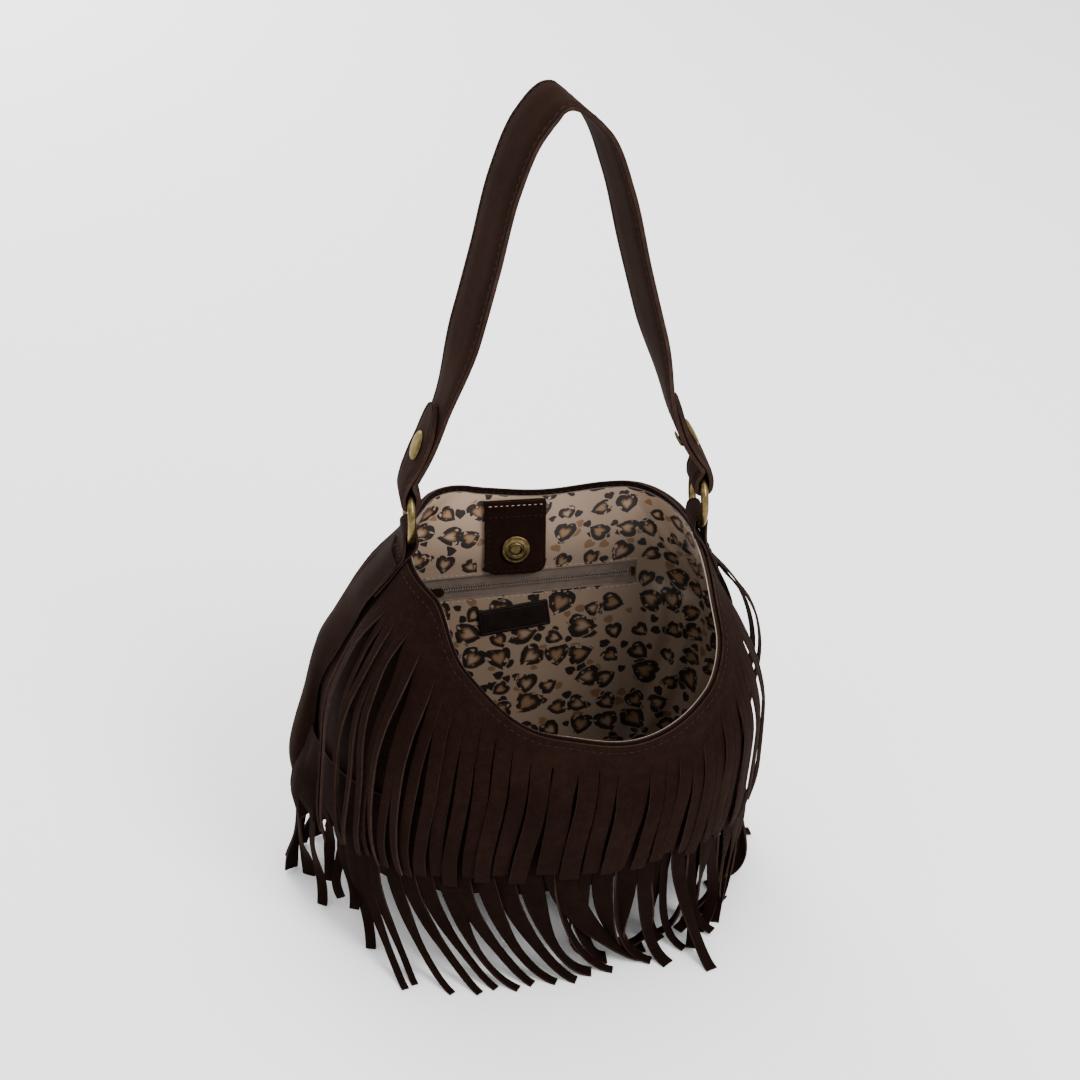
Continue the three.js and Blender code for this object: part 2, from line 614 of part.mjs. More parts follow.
add('back_upper_fringe', upperFringe(backWall, 0.045, 0.955, backDrift, backTips, rightBow,
  (row, u) => row < (u < 0.14 ? 4 : u > 0.88 ? 3 : 1)), suedeBrown);

// Lower tier: hangs down from the belly to the floor and trails away sideways
const floorLift = fringeSuede / 2 + 0.15;
const lowerLift = 1.3;
const lowerRows = [
  { height: lowerTop, out: 0, swirl: 0, flare: 0 },
  { height: lowerTop - lowerBand, out: 0.02, swirl: 0, flare: 0.25 },
  { height: 0.52 * (lowerTop - lowerBand), out: 0.1, swirl: 0.08, flare: 0.8 },
  { height: 0.17 * (lowerTop - lowerBand), out: 0.42, swirl: 0.34, flare: 1 },
  { height: floorLift, out: 0.68, swirl: 0.6, flare: 1 },
  { height: floorLift, out: 1, swirl: 1, flare: 1.1 },
];
function lowerFringe(wall, from, to, swirlAt, tuckAt) {
  const edgeAt = (share, row, i) => {
    const { height, out, swirl, flare } = lowerRows[row];
    const u = lerp(from, to, share);
    const hung = Math.max(height, 0.62 * lowerTop);
    const outward = outwardAt(wall, u, hung);
    const across = new THREE.Vector3(-outward.y, outward.x, 0);
    const reach = lowerSpread * out * (1 + 0.15 * uneven(i, 4)) * tuckAt(u) + leftFlare * flare * smooth((0.14 - u) / 0.14);
    const at = wall.atHeight(u, hung, lowerLift + fringeSuede / 2)
      .addScaledVector(outward, reach)
      .addScaledVector(across, lowerSwirl * swirlAt(u) * swirl)
      .setZ(height);
    const lying = smooth(1.8 * out - 0.6);
    return { at, through: outward.multiplyScalar(1 - lying).add(new THREE.Vector3(0, 0, lying)).normalize() };
  };
  const fill = (u, row) => (row === 0 ? 0.95 : row === 1 ? 0.9 : 0.66);
  return fringeGeometry(wall.side, lowerStrips, lowerRows.length, fill, (row) => row < 1, edgeAt);
}
const frontSwirl = curveThrough([[0, -0.1], [0.15, 0.2], [0.35, 0.75], [0.5, 1], [0.7, 0.75], [0.85, 0.2], [1, -0.1]]);
const backSwirl = curveThrough([[0, 0], [0.5, 0.3], [1, 0]]);
const frontTuck = curveThrough([[0, 1], [0.7, 1], [0.85, 0.5], [1, 0.6]]);
add('front_lower_fringe', lowerFringe(frontWall, 0.012, 0.985, frontSwirl, frontTuck), suedeBrown);
add('back_lower_fringe', lowerFringe(backWall, 0.012, 0.985, backSwirl, () => 1), suedeBrown);

// Rings, tabs and strap

const ringHeight = rimHeight + ringLift;
const ringGeometry = new THREE.TorusGeometry(ringRadius, wireRadius, 8, 28).rotateY(Math.PI / 2);
for (const [name, way] of [['left_ring', -1], ['right_ring', 1]]) {
  const ring = add(name, ringGeometry.clone(), brass);
  ring.position.set((way * mouthWidth) / 2, 0, ringHeight);
}

// A loop of this width rides on the wire with its edges: how far its middle lies from the ring's centre
function wireDrop(width) {
  const drop = Math.sqrt(ringRadius ** 2 - (width / 2) ** 2);
  return drop - wireRadius * (ringRadius / drop - 1);
}

function bandFrames(path, width, thick, acrossAt) {
  return path.map((at, i) => {
    const before = path[Math.max(i - 1, 0)];
    const after = path[Math.min(i + 1, path.length - 1)];
    const along = after.clone().sub(before).normalize();
    const across = acrossAt(i).clone();
    across.addScaledVector(along, -across.dot(along)).normalize();
    return { at, across, through: along.clone().cross(across), width: width(i), thick: thick(i) };
  });
}

// Points of a half turn about (x, z) in the XZ plane, from one angle to another
function arcPoints(x, z, radius, from, to, count) {
  return Array.from({ length: count }, (_, k) => {
    const angle = radians(lerp(from, to, k / (count - 1)));
    return new THREE.Vector3(x + radius * Math.cos(angle), 0, z + radius * Math.sin(angle));
  });
}

// Tab: up the outside of the side seam, in under the ring, over its wire and down again outside
function ringTab(way) {
  const wallPoint = (height, lift) => frontWall.atHeight(way > 0 ? 1 : 0, height, lift).setY(0);
  const ringX = (way * mouthWidth) / 2;
  const loopRadius = wireRadius + wireClearance + tabSuede / 2;
  const loopTop = ringHeight - wireDrop(tabWidth);
  const innerLift = 0.5 + tabSuede / 2;
  const outerLift = innerLift + tabSuede + seat;
  const heights = [rimHeight - tabLeg, rimHeight - 0.7 * tabLeg, rimHeight - 0.4 * tabLeg, rimHeight - 3];
  const inner = heights.map((height) => wallPoint(height, innerLift));
  const outer = heights.map((height) => wallPoint(height, outerLift)).reverse();
  const crossing = new THREE.Vector3(ringX, 0, rimHeight + tabSuede / 2 + 2 * seat);
  const foot = new THREE.Vector3(ringX - way * loopRadius, 0, ringHeight - ringRadius - 0.6);
  const turn = way > 0 ? arcPoints(ringX, loopTop, loopRadius, 180, 0, 7) : arcPoints(ringX, loopTop, loopRadius, 0, 180, 7);
  const outside = new THREE.Vector3(ringX + way * loopRadius, 0, ringHeight - ringRadius);
  const path = [...inner, crossing, foot, ...turn, outside, ...outer];
  return ribbonSolid(bandFrames(path, () => tabWidth, () => tabSuede, () => new THREE.Vector3(0, -way, 0)));
}
add('left_ring_tab', ringTab(-1), suedeBrown);
add('right_ring_tab', ringTab(1), suedeBrown);

// Strap: the raised arch, then at each end a turn under the ring's wire and a folded flap outside
const strapHalf = mouthWidth / 2;
const crownShift = -6;
const loopLow = ringHeight + wireDrop(strapNeck);
const loopMiddleRadius = wireRadius + wireClearance + strapThick / 2;
const neckTop = ringHeight + ringRadius + wireRadius + 5;

// Shares of the way out from the crown to the ring, and of the rise, down each leg
const leftLeg = [[0.85, 0.19], [0.635, 0.42], [0.48, 0.62], [0.353, 0.8], [0.19, 0.93]];
const rightLeg = [[0.83, 0.19], [0.645, 0.42], [0.494, 0.62], [0.367, 0.8], [0.217, 0.93]];

function makeArch() {
  const leg = (way, shares) => [
    new THREE.Vector3(way * (strapHalf - (strapThick + foldGap) / 2), 0, neckTop),
    ...shares.map(([share, rise]) => new THREE.Vector3(lerp(crownShift, way * strapHalf, share), 0,
      ringHeight + strapRise * rise)),
  ];
  const crown = new THREE.Vector3(crownShift, 0, ringHeight + strapRise - strapThick);
  return new THREE.CatmullRomCurve3([...leg(-1, leftLeg), crown, ...leg(1, rightLeg).reverse()], false, 'centripetal');
}
const arch = makeArch();
const archLength = arch.getLength();

// Twist of the strap along the arch; there is none where the ends are riveted
const twistAt = curveThrough([[0, 0], [0.09, 0], [0.2, strapTwist], [0.8, strapTwist], [0.91, 0], [1, 0]]);
function acrossArch(share) {
  const twist = radians(twistAt(share));
  return new THREE.Vector3(Math.sin(twist), -Math.cos(twist), 0);
}
// Direction from the strap's outer face to its inner one
function inwardArch(share) {
  const along = arch.getTangentAt(share);
  const across = acrossArch(share);
  across.addScaledVector(along, -across.dot(along)).normalize();
  return along.cross(across);
}

const flapShares = [0, 0.3, 0.55, 0.75, 0.88, 0.96, 1];
const flapTaper = [0.81, 1, 1, 0.9, 0.72, 0.48, 0.24];
const widthAt = curveThrough([[0, 0.81 * flapWidth], [0.07, strapWidth - 4], [0.16, strapWidth], [0.84, strapWidth],
  [0.93, strapWidth - 4], [1, 0.81 * flapWidth]]);

function strapGeometry() {
  const steps = 30;
  const stations = Array.from({ length: steps + 1 }, (_, i) => {
    const share = i / steps;
    return { at: arch.getPointAt(share), across: acrossArch(share), width: widthAt(share) };
  });
  const straight = new THREE.Vector3(0, -1, 0);
  const loop = (way) => {
    const x = way * strapHalf;
    const level = ringHeight + ringRadius - 0.5;
    const turn = arcPoints(x, loopLow, loopMiddleRadius, way < 0 ? -180 : 180, way < 0 ? 0 : 360, 7);
    const sides = [-1, 1].map((end) => new THREE.Vector3(x + end * loopMiddleRadius, 0, level));
    return [
      { at: sides[0], across: straight, width: 0.68 * flapWidth },
      ...turn.map((at) => ({ at, across: straight, width: strapNeck })),
      { at: sides[1], across: straight, width: 0.68 * flapWidth },
    ];
  };
  const flap = (way) => flapShares.map((part, k) => {
    const along = (part * flapLength) / archLength;
    const share = way < 0 ? along : 1 - along;
    const at = arch.getPointAt(share).addScaledVector(inwardArch(share), -strapThick - foldGap);
    return { at, across: acrossArch(share), width: flapTaper[k] * flapWidth };
  });
  const all = [...flap(-1).reverse(), ...loop(-1), ...stations, ...loop(1), ...flap(1)];
  return ribbonSolid(bandFrames(all.map((s) => s.at), (i) => all[i].width, () => strapThick, (i) => all[i].across));
}

// Rivets: a cap with a post outside, and a back that closes over the post inside
const capBore = rivetPost / 2 + seat;
const postLength = 2 * strapThick + foldGap + 2 * rivetSeat - seat;
function rivetFrame(way) {
  const share = way < 0 ? rivetHeight / archLength : 1 - rivetHeight / archLength;
  const inward = inwardArch(share);
  const right = new THREE.Vector3(0, -1, 0);
  const up = inward.clone().cross(right);
  const faceAt = arch.getPointAt(share).addScaledVector(inward, -1.5 * strapThick - foldGap - rivetSeat);
  return new THREE.Matrix4().makeBasis(right, up, inward).setPosition(faceAt);
}
const cap = lathe([[0, -capThick], [0.45 * rivetCap, -0.75 * capThick], [rivetCap / 2, 0], [rivetPost / 2, 0],
  [rivetPost / 2, postLength], [0, postLength]], 20);
const backing = lathe([[0, postLength + seat], [rivetBack / 2, postLength + seat],
  [0.4 * rivetBack, postLength + seat + capThick], [0, postLength + seat + capThick]], 16);
const postHole = new THREE.CylinderGeometry(capBore, capBore, 4 * strapThick, 16).rotateX(Math.PI / 2);

let strapSolid = solidOf(strapGeometry());
for (const [side, way] of [['left', -1], ['right', 1]]) {
  const frame = rivetFrame(way);
  strapSolid = strapSolid.subtract(solidOf(placed(postHole, frame, 0, 0, postLength / 2)));
  add(`${side}_rivet_cap`, placed(cap, frame), brass);
  add(`${side}_rivet_back`, placed(backing, frame), brass);
}
add('strap', geometryOf(strapSolid), strapBrown);

bag.updateMatrixWorld(true);
export default bag;
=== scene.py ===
# Fringed suede shoulder bag: camera, light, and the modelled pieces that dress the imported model.
# Shapes are worked out in millimetres and become metres where a mesh is made.
import json
import math

import bpy
import numpy as np
from mathutils import Matrix, Vector


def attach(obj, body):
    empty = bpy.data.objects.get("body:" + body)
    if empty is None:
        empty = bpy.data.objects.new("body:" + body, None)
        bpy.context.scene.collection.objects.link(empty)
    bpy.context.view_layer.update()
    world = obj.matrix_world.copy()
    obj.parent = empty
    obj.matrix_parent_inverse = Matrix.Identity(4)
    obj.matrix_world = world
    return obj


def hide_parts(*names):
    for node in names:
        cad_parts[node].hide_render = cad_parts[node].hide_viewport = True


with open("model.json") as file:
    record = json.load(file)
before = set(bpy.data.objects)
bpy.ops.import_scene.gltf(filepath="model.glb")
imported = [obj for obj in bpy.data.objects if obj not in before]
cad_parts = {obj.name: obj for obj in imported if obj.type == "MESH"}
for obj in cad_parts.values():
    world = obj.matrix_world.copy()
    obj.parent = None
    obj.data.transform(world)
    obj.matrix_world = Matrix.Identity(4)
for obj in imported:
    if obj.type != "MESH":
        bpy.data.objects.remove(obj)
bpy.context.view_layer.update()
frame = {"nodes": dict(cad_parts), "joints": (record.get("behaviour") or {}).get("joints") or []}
millimetre = 0.001
print("frame loaded")


# Camera, floor and light

photoView = {"azimuth": -10, "elevation": 32, "roll": 2, "distance": 1.3, "target": (-0.008, 0, 0.238), "lens": 75}


def makeCamera():
    azimuth, elevation, roll = (math.radians(photoView[turn]) for turn in ("azimuth", "elevation", "roll"))
    back = Vector((math.sin(azimuth) * math.cos(elevation), -math.cos(azimuth) * math.cos(elevation),
                   math.sin(elevation)))
    right = (-back).cross(Vector((0, 0, 1))).normalized()
    up = right.cross(-back)
    axes = Matrix((
        right * math.cos(roll) + up * math.sin(roll),
        up * math.cos(roll) - right * math.sin(roll),
        back,
    )).transposed()
    camera = bpy.data.objects.new("camera", bpy.data.cameras.new("camera"))
    camera.data.lens, camera.data.sensor_width = photoView["lens"], 36
    camera.data.clip_start, camera.data.clip_end = 0.05, 50
    bpy.context.scene.collection.objects.link(camera)
    place = Vector(photoView["target"]) + photoView["distance"] * back
    camera.matrix_world = Matrix.Translation(place) @ axes.to_4x4()
    bpy.context.scene.camera = camera


studio = {
    "floorColour": (0.9, 0.9, 0.9, 1), "floorSize": 6, "skyStrength": 1.7, "aim": (0, 0, 0.2),
    "lights": [
        {"name": "keyLight", "place": (1.0, -1.5, 1.9), "size": 1.1, "power": 62},
        {"name": "fillLight", "place": (-1.6, -1.3, 1.2), "size": 1.8, "power": 5},
        {"name": "topLight", "place": (0.1, 0.5, 2.2), "size": 1.4, "power": 24},
        {"name": "backLight", "place": (-0.8, 2.0, 1.0), "size": 1.6, "power": 48},
    ],
}


def makeStudio():
    world = bpy.data.worlds.new("studio")
    world.use_nodes = True
    sky = world.node_tree.nodes["Background"]
    sky.inputs["Color"].default_value = (1, 1, 1, 1)
    sky.inputs["Strength"].default_value = studio["skyStrength"]
    bpy.context.scene.world = world
    for light in studio["lights"]:
        lamp = bpy.data.lights.new(light["name"], "AREA")
        lamp.shape, lamp.size, lamp.energy = "DISK", light["size"], light["power"]
        holder = bpy.data.objects.new(light["name"], lamp)
        bpy.context.scene.collection.objects.link(holder)
        holder.location = light["place"]
        aim = Vector(studio["aim"]) - Vector(light["place"])
        holder.rotation_mode = "QUATERNION"
        holder.rotation_quaternion = aim.to_track_quat("-Z", "Y")
    half = studio["floorSize"] / 2
    mesh = bpy.data.meshes.new("floor")
    mesh.from_pydata([(-half, -half, 0), (half, -half, 0), (half, half, 0), (-half, half, 0)], [], [(0, 1, 2, 3)])
    floor = bpy.data.objects.new("floor", mesh)
    floor.data.materials.append(Paint("paleFloor", Roughness=0.9, Base_Color=studio["floorColour"]).material)
    bpy.context.scene.collection.objects.link(floor)


# Materials

def isSocket(value):
    return isinstance(value, bpy.types.NodeSocket)


# One material and the nodes that are put in it
class Paint:
    def __init__(self, name, **values):
        self.material = bpy.data.materials.new(name)
        self.material.use_nodes = True
        self.tree = self.material.node_tree
        self.shader = self.tree.nodes["Principled BSDF"]
        for socket, value in values.items():
            self.shader.inputs[socket.replace("_", " ")].default_value = value

    def feed(self, socket, value):
        if isSocket(value):
            self.tree.links.new(value, socket)
        else:
            socket.default_value = value

    def node(self, kind, inputs=None, **settings):
        node = self.tree.nodes.new("ShaderNode" + kind)
        for name, value in settings.items():
            setattr(node, name, value)
        for name, value in (inputs or {}).items():
            self.feed(node.inputs[name], value)
        return node

    def place(self):
        return self.node("TexCoord").outputs["Object"]

    def noise(self, where, scale, detail=4, roughness=0.55):
        settings = {"Vector": where, "Scale": scale, "Detail": detail, "Roughness": roughness}
        return self.node("TexNoise", settings).outputs["Fac"]

    def ramp(self, value, stops):
        node = self.node("ValToRGB", {"Fac": value})
        elements = node.color_ramp.elements
        while len(elements) < len(stops):
            elements.new(0.5)
        for element, (place, colour) in zip(elements, stops):
            element.position = place
            element.color = (*colour, 1) if isinstance(colour, tuple) else (colour, colour, colour, 1)
        return node.outputs["Color"]

    def math(self, operation, *values, clamp=False):
        node = self.node("Math", dict(enumerate(values)), operation=operation, use_clamp=clamp)
        return node.outputs[0]

    def plus(self, first, second):
        return self.math("ADD", first, second)

    def times(self, first, second):
        return self.math("MULTIPLY", first, second)

    # where the value is above or below the limit
    def above(self, value, limit):
        return self.math("GREATER_THAN", value, limit)

    def below(self, value, limit):
        return self.math("LESS_THAN", value, limit)

    def vector(self, operation, first, second):
        return self.node("VectorMath", {0: first, 1: second}, operation=operation).outputs[0]

    def mix(self, share, first, second, blend="MIX"):
        node = self.node("Mix", data_type="RGBA", blend_type=blend)
        for index, value in ((0, share), (6, first), (7, second)):
            self.feed(node.inputs[index], (*value, 1) if isinstance(value, tuple) else value)
        return node.outputs[2]

    def done(self, colour, roughness, height, strength, depth):
        self.feed(self.shader.inputs["Base Color"], colour)
        self.feed(self.shader.inputs["Roughness"], roughness)
        bump = self.node("Bump", {"Height": height, "Strength": strength, "Distance": depth})
        self.feed(self.shader.inputs["Normal"], bump.outputs["Normal"])
        return self.material


suede = {
    "broad": (26, 3, 0.5), "patches": (170, 4, 0.6), "faceFinish": (1100, 3, 0.6), "fibres": (3200, 2, 0.5),
    "sheen": 0.02, "sheenTint": (0.75, 0.48, 0.38, 1), "depth": 0.0004,
}


def suedeMaterial(name, dark, middle, light, seed=0.0):
    paint = Paint(name, Sheen_Weight=suede["sheen"], Sheen_Roughness=0.5, Sheen_Tint=suede["sheenTint"],
                  Specular_IOR_Level=0.02)
    where = paint.node("Mapping", {"Vector": paint.place(), "Location": (seed, seed, 0)}).outputs["Vector"]
    broad, patches, faceFinish, fibres = (paint.noise(where, *suede[part]) for part in ("broad", "patches", "faceFinish", "fibres"))
    blended = paint.plus(paint.plus(paint.times(broad, 0.3), paint.times(patches, 0.3)), paint.times(faceFinish, 0.4))
    height = paint.plus(paint.times(faceFinish, 0.7), paint.times(fibres, 0.3))
    return paint.done(paint.ramp(blended, [(0.36, dark), (0.5, middle), (0.64, light)]),
                      paint.ramp(faceFinish, [(0.3, 0.86), (0.7, 1.0)]), height, 0.5, suede["depth"])


def threadMaterial(name, colour, worn):
    paint = Paint(name, Specular_IOR_Level=0.12)
    twist = paint.noise(paint.place(), 2600, 2)
    return paint.done(paint.ramp(twist, [(0.35, colour), (0.65, worn)]),
                      paint.ramp(twist, [(0.3, 0.6), (0.7, 0.8)]), twist, 0.3, 0.0002)


def brassMaterial(name, bright, dull, roughness=0.3):
    paint = Paint(name, Metallic=1.0, Specular_Tint=(0.84, 0.78, 0.60, 1))
    where = paint.place()
    tarnish, scratches = paint.noise(where, 210, 5, 0.65), paint.noise(where, 1600, 3, 0.7)
    rough = paint.plus(paint.times(tarnish, -0.25), paint.times(scratches, 0.12))
    return paint.done(paint.ramp(tarnish, [(0.38, dull), (0.62, bright)]), paint.plus(rough, roughness + 0.08),
                      scratches, 0.12, 0.0001)


liningPrint = {
    "cloth": (0.345, 0.240, 0.168), "dark": (0.0150, 0.0085, 0.0068), "brown": (0.060, 0.029, 0.015),
    "tan": (0.215, 0.115, 0.056), "softTan": (0.285, 0.165, 0.088), "largeCell": 0.0180, "smallCell": 0.0090,
    "deepShade": 0.46, "deepHeight": 0.105, "litHeight": 0.24, "rightShade": 0.8, "rightFrom": -0.05, "rightTo": 0.05,
}


# Distance in each cell from the middle of a turned heart: 1 on the heart's outline
def heartPrint(paint, flat, cell, seed, spread):
    scaled = paint.vector("MULTIPLY", flat, (1 / cell, 1 / cell, 0))
    shifted = paint.vector("ADD", scaled, (seed, seed, 0))
    cells = paint.node("TexVoronoi", {"Vector": shifted, "Scale": 1.0, "Randomness": spread},
                       voronoi_dimensions="2D").outputs
    local = paint.vector("SUBTRACT", shifted, cells["Position"])
    chance = paint.node("SeparateColor", {"Color": cells["Color"]}).outputs
    turn = paint.times(paint.math("SUBTRACT", chance["Red"], 0.5), 4.4)
    turned = paint.node("VectorRotate", {"Vector": local, "Angle": turn}, rotation_type="Z_AXIS").outputs[0]
    parts = paint.node("SeparateXYZ", {"Vector": turned}).outputs
    size = paint.plus(paint.times(chance["Green"], 0.20), 0.25)
    x = paint.math("DIVIDE", paint.math("ABSOLUTE", parts["X"]), size)
    y = paint.math("DIVIDE", parts["Y"], size)
    y = paint.plus(paint.math("SUBTRACT", y, paint.times(paint.math("SQRT", x), 0.6)), 0.2)
    return paint.math("SQRT", paint.plus(paint.times(x, x), paint.times(y, y))), chance["Blue"]


def liningMaterial(name):
    paint = Paint(name, Sheen_Weight=0.08, Sheen_Roughness=0.3, Specular_IOR_Level=0.3)
    flat = paint.node("UVMap").outputs["UV"]
    wobble = paint.node("TexNoise", {"Vector": flat, "Scale": 260, "Detail": 2}).outputs["Color"]
    wavy = paint.vector("ADD", flat, paint.vector("MULTIPLY", wobble, (0.0015, 0.0015, 0)))
    gaps, weave = paint.noise(flat, 230, 1), paint.noise(flat, 1500, 2)
    cloth, dark, brown, tan, softTan = (liningPrint[tone] for tone in ("cloth", "dark", "brown", "tan", "softTan"))

    near, chance = heartPrint(paint, wavy, liningPrint["smallCell"], 7.3, 0.7)
    small = paint.times(paint.below(near, 0.88), paint.above(chance, 0.38))
    smallColour = paint.mix(paint.above(chance, 0.8), dark, tan)

    far, chance = heartPrint(paint, wavy, liningPrint["largeCell"], 0.0, 0.4)
    colour = paint.mix(paint.times(small, paint.above(far, 1.16)), cloth, smallColour)
    # a broken dark outline, brown and tan inside it, and in some a cloth-coloured core
    centre = paint.mix(paint.below(chance, 0.6), softTan, cloth)
    centre = paint.mix(paint.ramp(far, [(0.26, 0.0), (0.42, 1.0)]), centre, tan)
    centre = paint.mix(paint.ramp(far, [(0.44, 0.0), (0.58, 1.0)]), centre, brown)
    colour = paint.mix(paint.below(far, 0.66), colour, centre)
    outline = paint.times(paint.ramp(far, [(0.55, 0.0), (0.64, 1.0)]), paint.below(far, 1.06))
    outline = paint.times(outline, paint.ramp(gaps, [(0.37, 0.0), (0.40, 1.0)]))
    colour = paint.mix(outline, colour, dark)

    # painted shade: the cloth colour is darkened deep in the bag and towards its right side, where the inside lies in
    # shade
    place = paint.node("SeparateXYZ", {"Vector": paint.place()}).outputs
    for axis, low, high, shades in (
            ("Z", "deepHeight", "litHeight", [(0, liningPrint["deepShade"]), (0.62, 0.46), (1, 1.0)]),
            ("X", "rightFrom", "rightTo", [(0, 1.0), (1, liningPrint["rightShade"])])):
        share = paint.math("DIVIDE", paint.math("SUBTRACT", place[axis], liningPrint[low]),
                           liningPrint[high] - liningPrint[low], clamp=True)
        colour = paint.mix(1.0, colour, paint.ramp(share, shades), blend="MULTIPLY")
    return paint.done(colour, paint.ramp(weave, [(0.3, 0.42), (0.7, 0.56)]), weave, 0.15, 0.0002)


def plainClothMaterial(name, colour, worn, scale=900, roughness=0.8):
    paint = Paint(name, Sheen_Weight=0.15, Specular_IOR_Level=0.3)
    where = paint.place()
    across, along = (
        paint.node("TexWave", {"Vector": where, "Scale": scale, "Distortion": 0.6}, bands_direction=way).outputs["Fac"]
        for way in "XZ")
    weave = paint.times(across, along)
    mixed = paint.plus(paint.times(weave, 0.35), paint.times(paint.noise(where, 160, 3), 0.65))
    return paint.done(paint.ramp(mixed, [(0.3, worn), (0.65, colour)]),
                      paint.ramp(weave, [(0, roughness), (1, roughness - 0.12)]), weave, 0.35, 0.0003)


def leatherMaterial(name, dark, light):
    paint = Paint(name, Specular_IOR_Level=0.1)
    where = paint.place()
    pores = paint.node("TexVoronoi", {"Vector": where, "Scale": 1300}).outputs["Distance"]
    return paint.done(paint.ramp(paint.noise(where, 90, 4), [(0.35, dark), (0.7, light)]),
                      paint.ramp(pores, [(0.1, 0.72), (0.7, 0.58)]), pores, 0.35, 0.0003)


finish = {
    "suede": suedeMaterial("napSuede", (0.0042, 0.0017, 0.0011), (0.0068, 0.0028, 0.0019), (0.0104, 0.0045, 0.0031)),
    # painted shade: the same suede made darker, for the lower fringe and the crossed strips, which lie in shade
    "low": suedeMaterial("lowShadedSuede", (0.0028, 0.0012, 0.0009), (0.0045, 0.0020, 0.0014),
                         (0.0070, 0.0032, 0.0023), 2.3),
    "strap": suedeMaterial("strapSuede", (0.0062, 0.0023, 0.0014), (0.0090, 0.0034, 0.0020),
                           (0.0122, 0.0048, 0.0029), 3.1),
    "edge": suedeMaterial("cutEdge", (0.012, 0.0062, 0.0046), (0.020, 0.0110, 0.0085), (0.031, 0.0185, 0.0145), 1.7),
    "under": suedeMaterial("fleshSide", (0.0040, 0.0018, 0.0013), (0.0060, 0.0028, 0.0020),
                           (0.0085, 0.0042, 0.0031), 5.2),
    "lining": liningMaterial("satinPrint"),
    "hem": plainClothMaterial("liningFold", (0.30, 0.235, 0.180), (0.22, 0.17, 0.13), 1500, 0.6),
    "zip": plainClothMaterial("zipTape", (0.100, 0.070, 0.052), (0.068, 0.047, 0.035)),
    "coil": plainClothMaterial("zipCoil", (0.130, 0.095, 0.072), (0.085, 0.060, 0.045), 1500, 0.5),
    "darkThread": threadMaterial("darkThread", (0.0060, 0.0030, 0.0022), (0.0115, 0.0060, 0.0045)),
    "tanThread": threadMaterial("tanThread", (0.17, 0.12, 0.085), (0.30, 0.225, 0.165)),
    "brass": brassMaterial("agedBrass", (0.150, 0.108, 0.046), (0.058, 0.039, 0.016)),
    "paleBrass": brassMaterial("rivetBrass", (0.105, 0.074, 0.030), (0.055, 0.038, 0.016), 0.42),
    "leather": leatherMaterial("patchLeather", (0.0036, 0.0016, 0.0011), (0.0075, 0.0036, 0.0026)),
}
makeCamera()
makeStudio()
print("camera, light and materials made")


# Mesh tools

def addPiece(name, body, slot, materials, points, faces, kinds=None, flat=None, sharp=40, replaces=()):
    mesh = bpy.data.meshes.new(name)
    mesh.from_pydata((np.asarray(points, float) * millimetre).tolist(), [], [list(map(int, face)) for face in faces])
    for material in materials:
        mesh.materials.append(finish[material])
    if kinds is not None:
        mesh.polygons.foreach_set("material_index", np.minimum(kinds, len(materials) - 1).astype(np.int32))
    if flat is not None:
        layer = mesh.uv_layers.new(name="flatCloth")
        corners = np.empty(len(mesh.loops), np.int32)
        mesh.loops.foreach_get("vertex_index", corners)
        layer.data.foreach_set("uv", (np.asarray(flat)[corners] * millimetre).astype(np.float32).ravel())
    mesh.polygons.foreach_set("use_smooth", [True] * len(mesh.polygons))
    mesh.validate()
    mesh.update()
    mesh.set_sharp_from_angle(angle=math.radians(sharp))
    piece = bpy.data.objects.new(name, mesh)
    bpy.context.scene.collection.objects.link(piece)
    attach(piece, body)
    if replaces:
        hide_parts(*replaces)
    return piece


# A closed sheet between two grids of points. Its faces are of kind 0 outside, 1 at a cut edge and 2 inside.
def clothSheet(outer, inner, cloth=None):
    rows, columns = outer.shape[:2]
    cloth = np.ones((rows - 1, columns - 1), bool) if cloth is None else cloth
    front = np.arange(rows * columns).reshape(rows, columns)
    (a, b, c, d), (e, f, g, h) = (
        (layer[:-1, :-1], layer[1:, :-1], layer[1:, 1:], layer[:-1, 1:]) for layer in (front, front + rows * columns))
    covered = np.pad(cloth, 1)
    quads, kinds = [], []
    for mask, corners, kind in (
            (cloth, (a, b, c, d), 0),
            (cloth, (e, h, g, f), 2),
            (cloth & ~covered[:-2, 1:-1], (a, d, h, e), 1),
            (cloth & ~covered[2:, 1:-1], (c, b, f, g), 1),
            (cloth & ~covered[1:-1, :-2], (b, a, e, f), 1),
            (cloth & ~covered[1:-1, 2:], (d, c, g, h), 1)):
        quads.append(np.stack([corner[mask] for corner in corners], -1))
        kinds.append(np.full(int(mask.sum()), kind))
    points = np.concatenate([outer.reshape(-1, 3), inner.reshape(-1, 3)])
    used, faces = np.unique(np.concatenate(quads), return_inverse=True)
    return points[used], faces.reshape(-1, 4), np.concatenate(kinds), used


# The same for a sheet on the front wall, side -1, or the back wall, side 1
def wallSheet(side, outer, inner, cloth=None):
    points, faces, kinds, used = clothSheet(*((outer, inner) if side < 0 else (inner, outer)), cloth)
    return points, faces, kinds if side < 0 else 2 - kinds, used


# Faces round a closed tube of rows of points, with both ends capped
def tubeFaces(rows, sides, first=0):
    faces = []
    for k in range(rows - 1):
        for m in range(sides):
            a, b = first + k * sides + m, first + k * sides + (m + 1) % sides
            faces.append((a, b, b + sides, a + sides))
    faces.append(tuple(first + m for m in range(sides - 1, -1, -1)))
    faces.append(tuple(first + (rows - 1) * sides + m for m in range(sides)))
    return faces


upward = np.array([0, 0, 1.0])
flatPart = np.array([1, 1, 0])


def unit(vectors):
    return vectors / np.maximum(np.linalg.norm(vectors, axis=-1, keepdims=True), 1e-9)


def smoothStep(x):
    x = np.clip(x, 0, 1)
    return x * x * (3 - 2 * x)


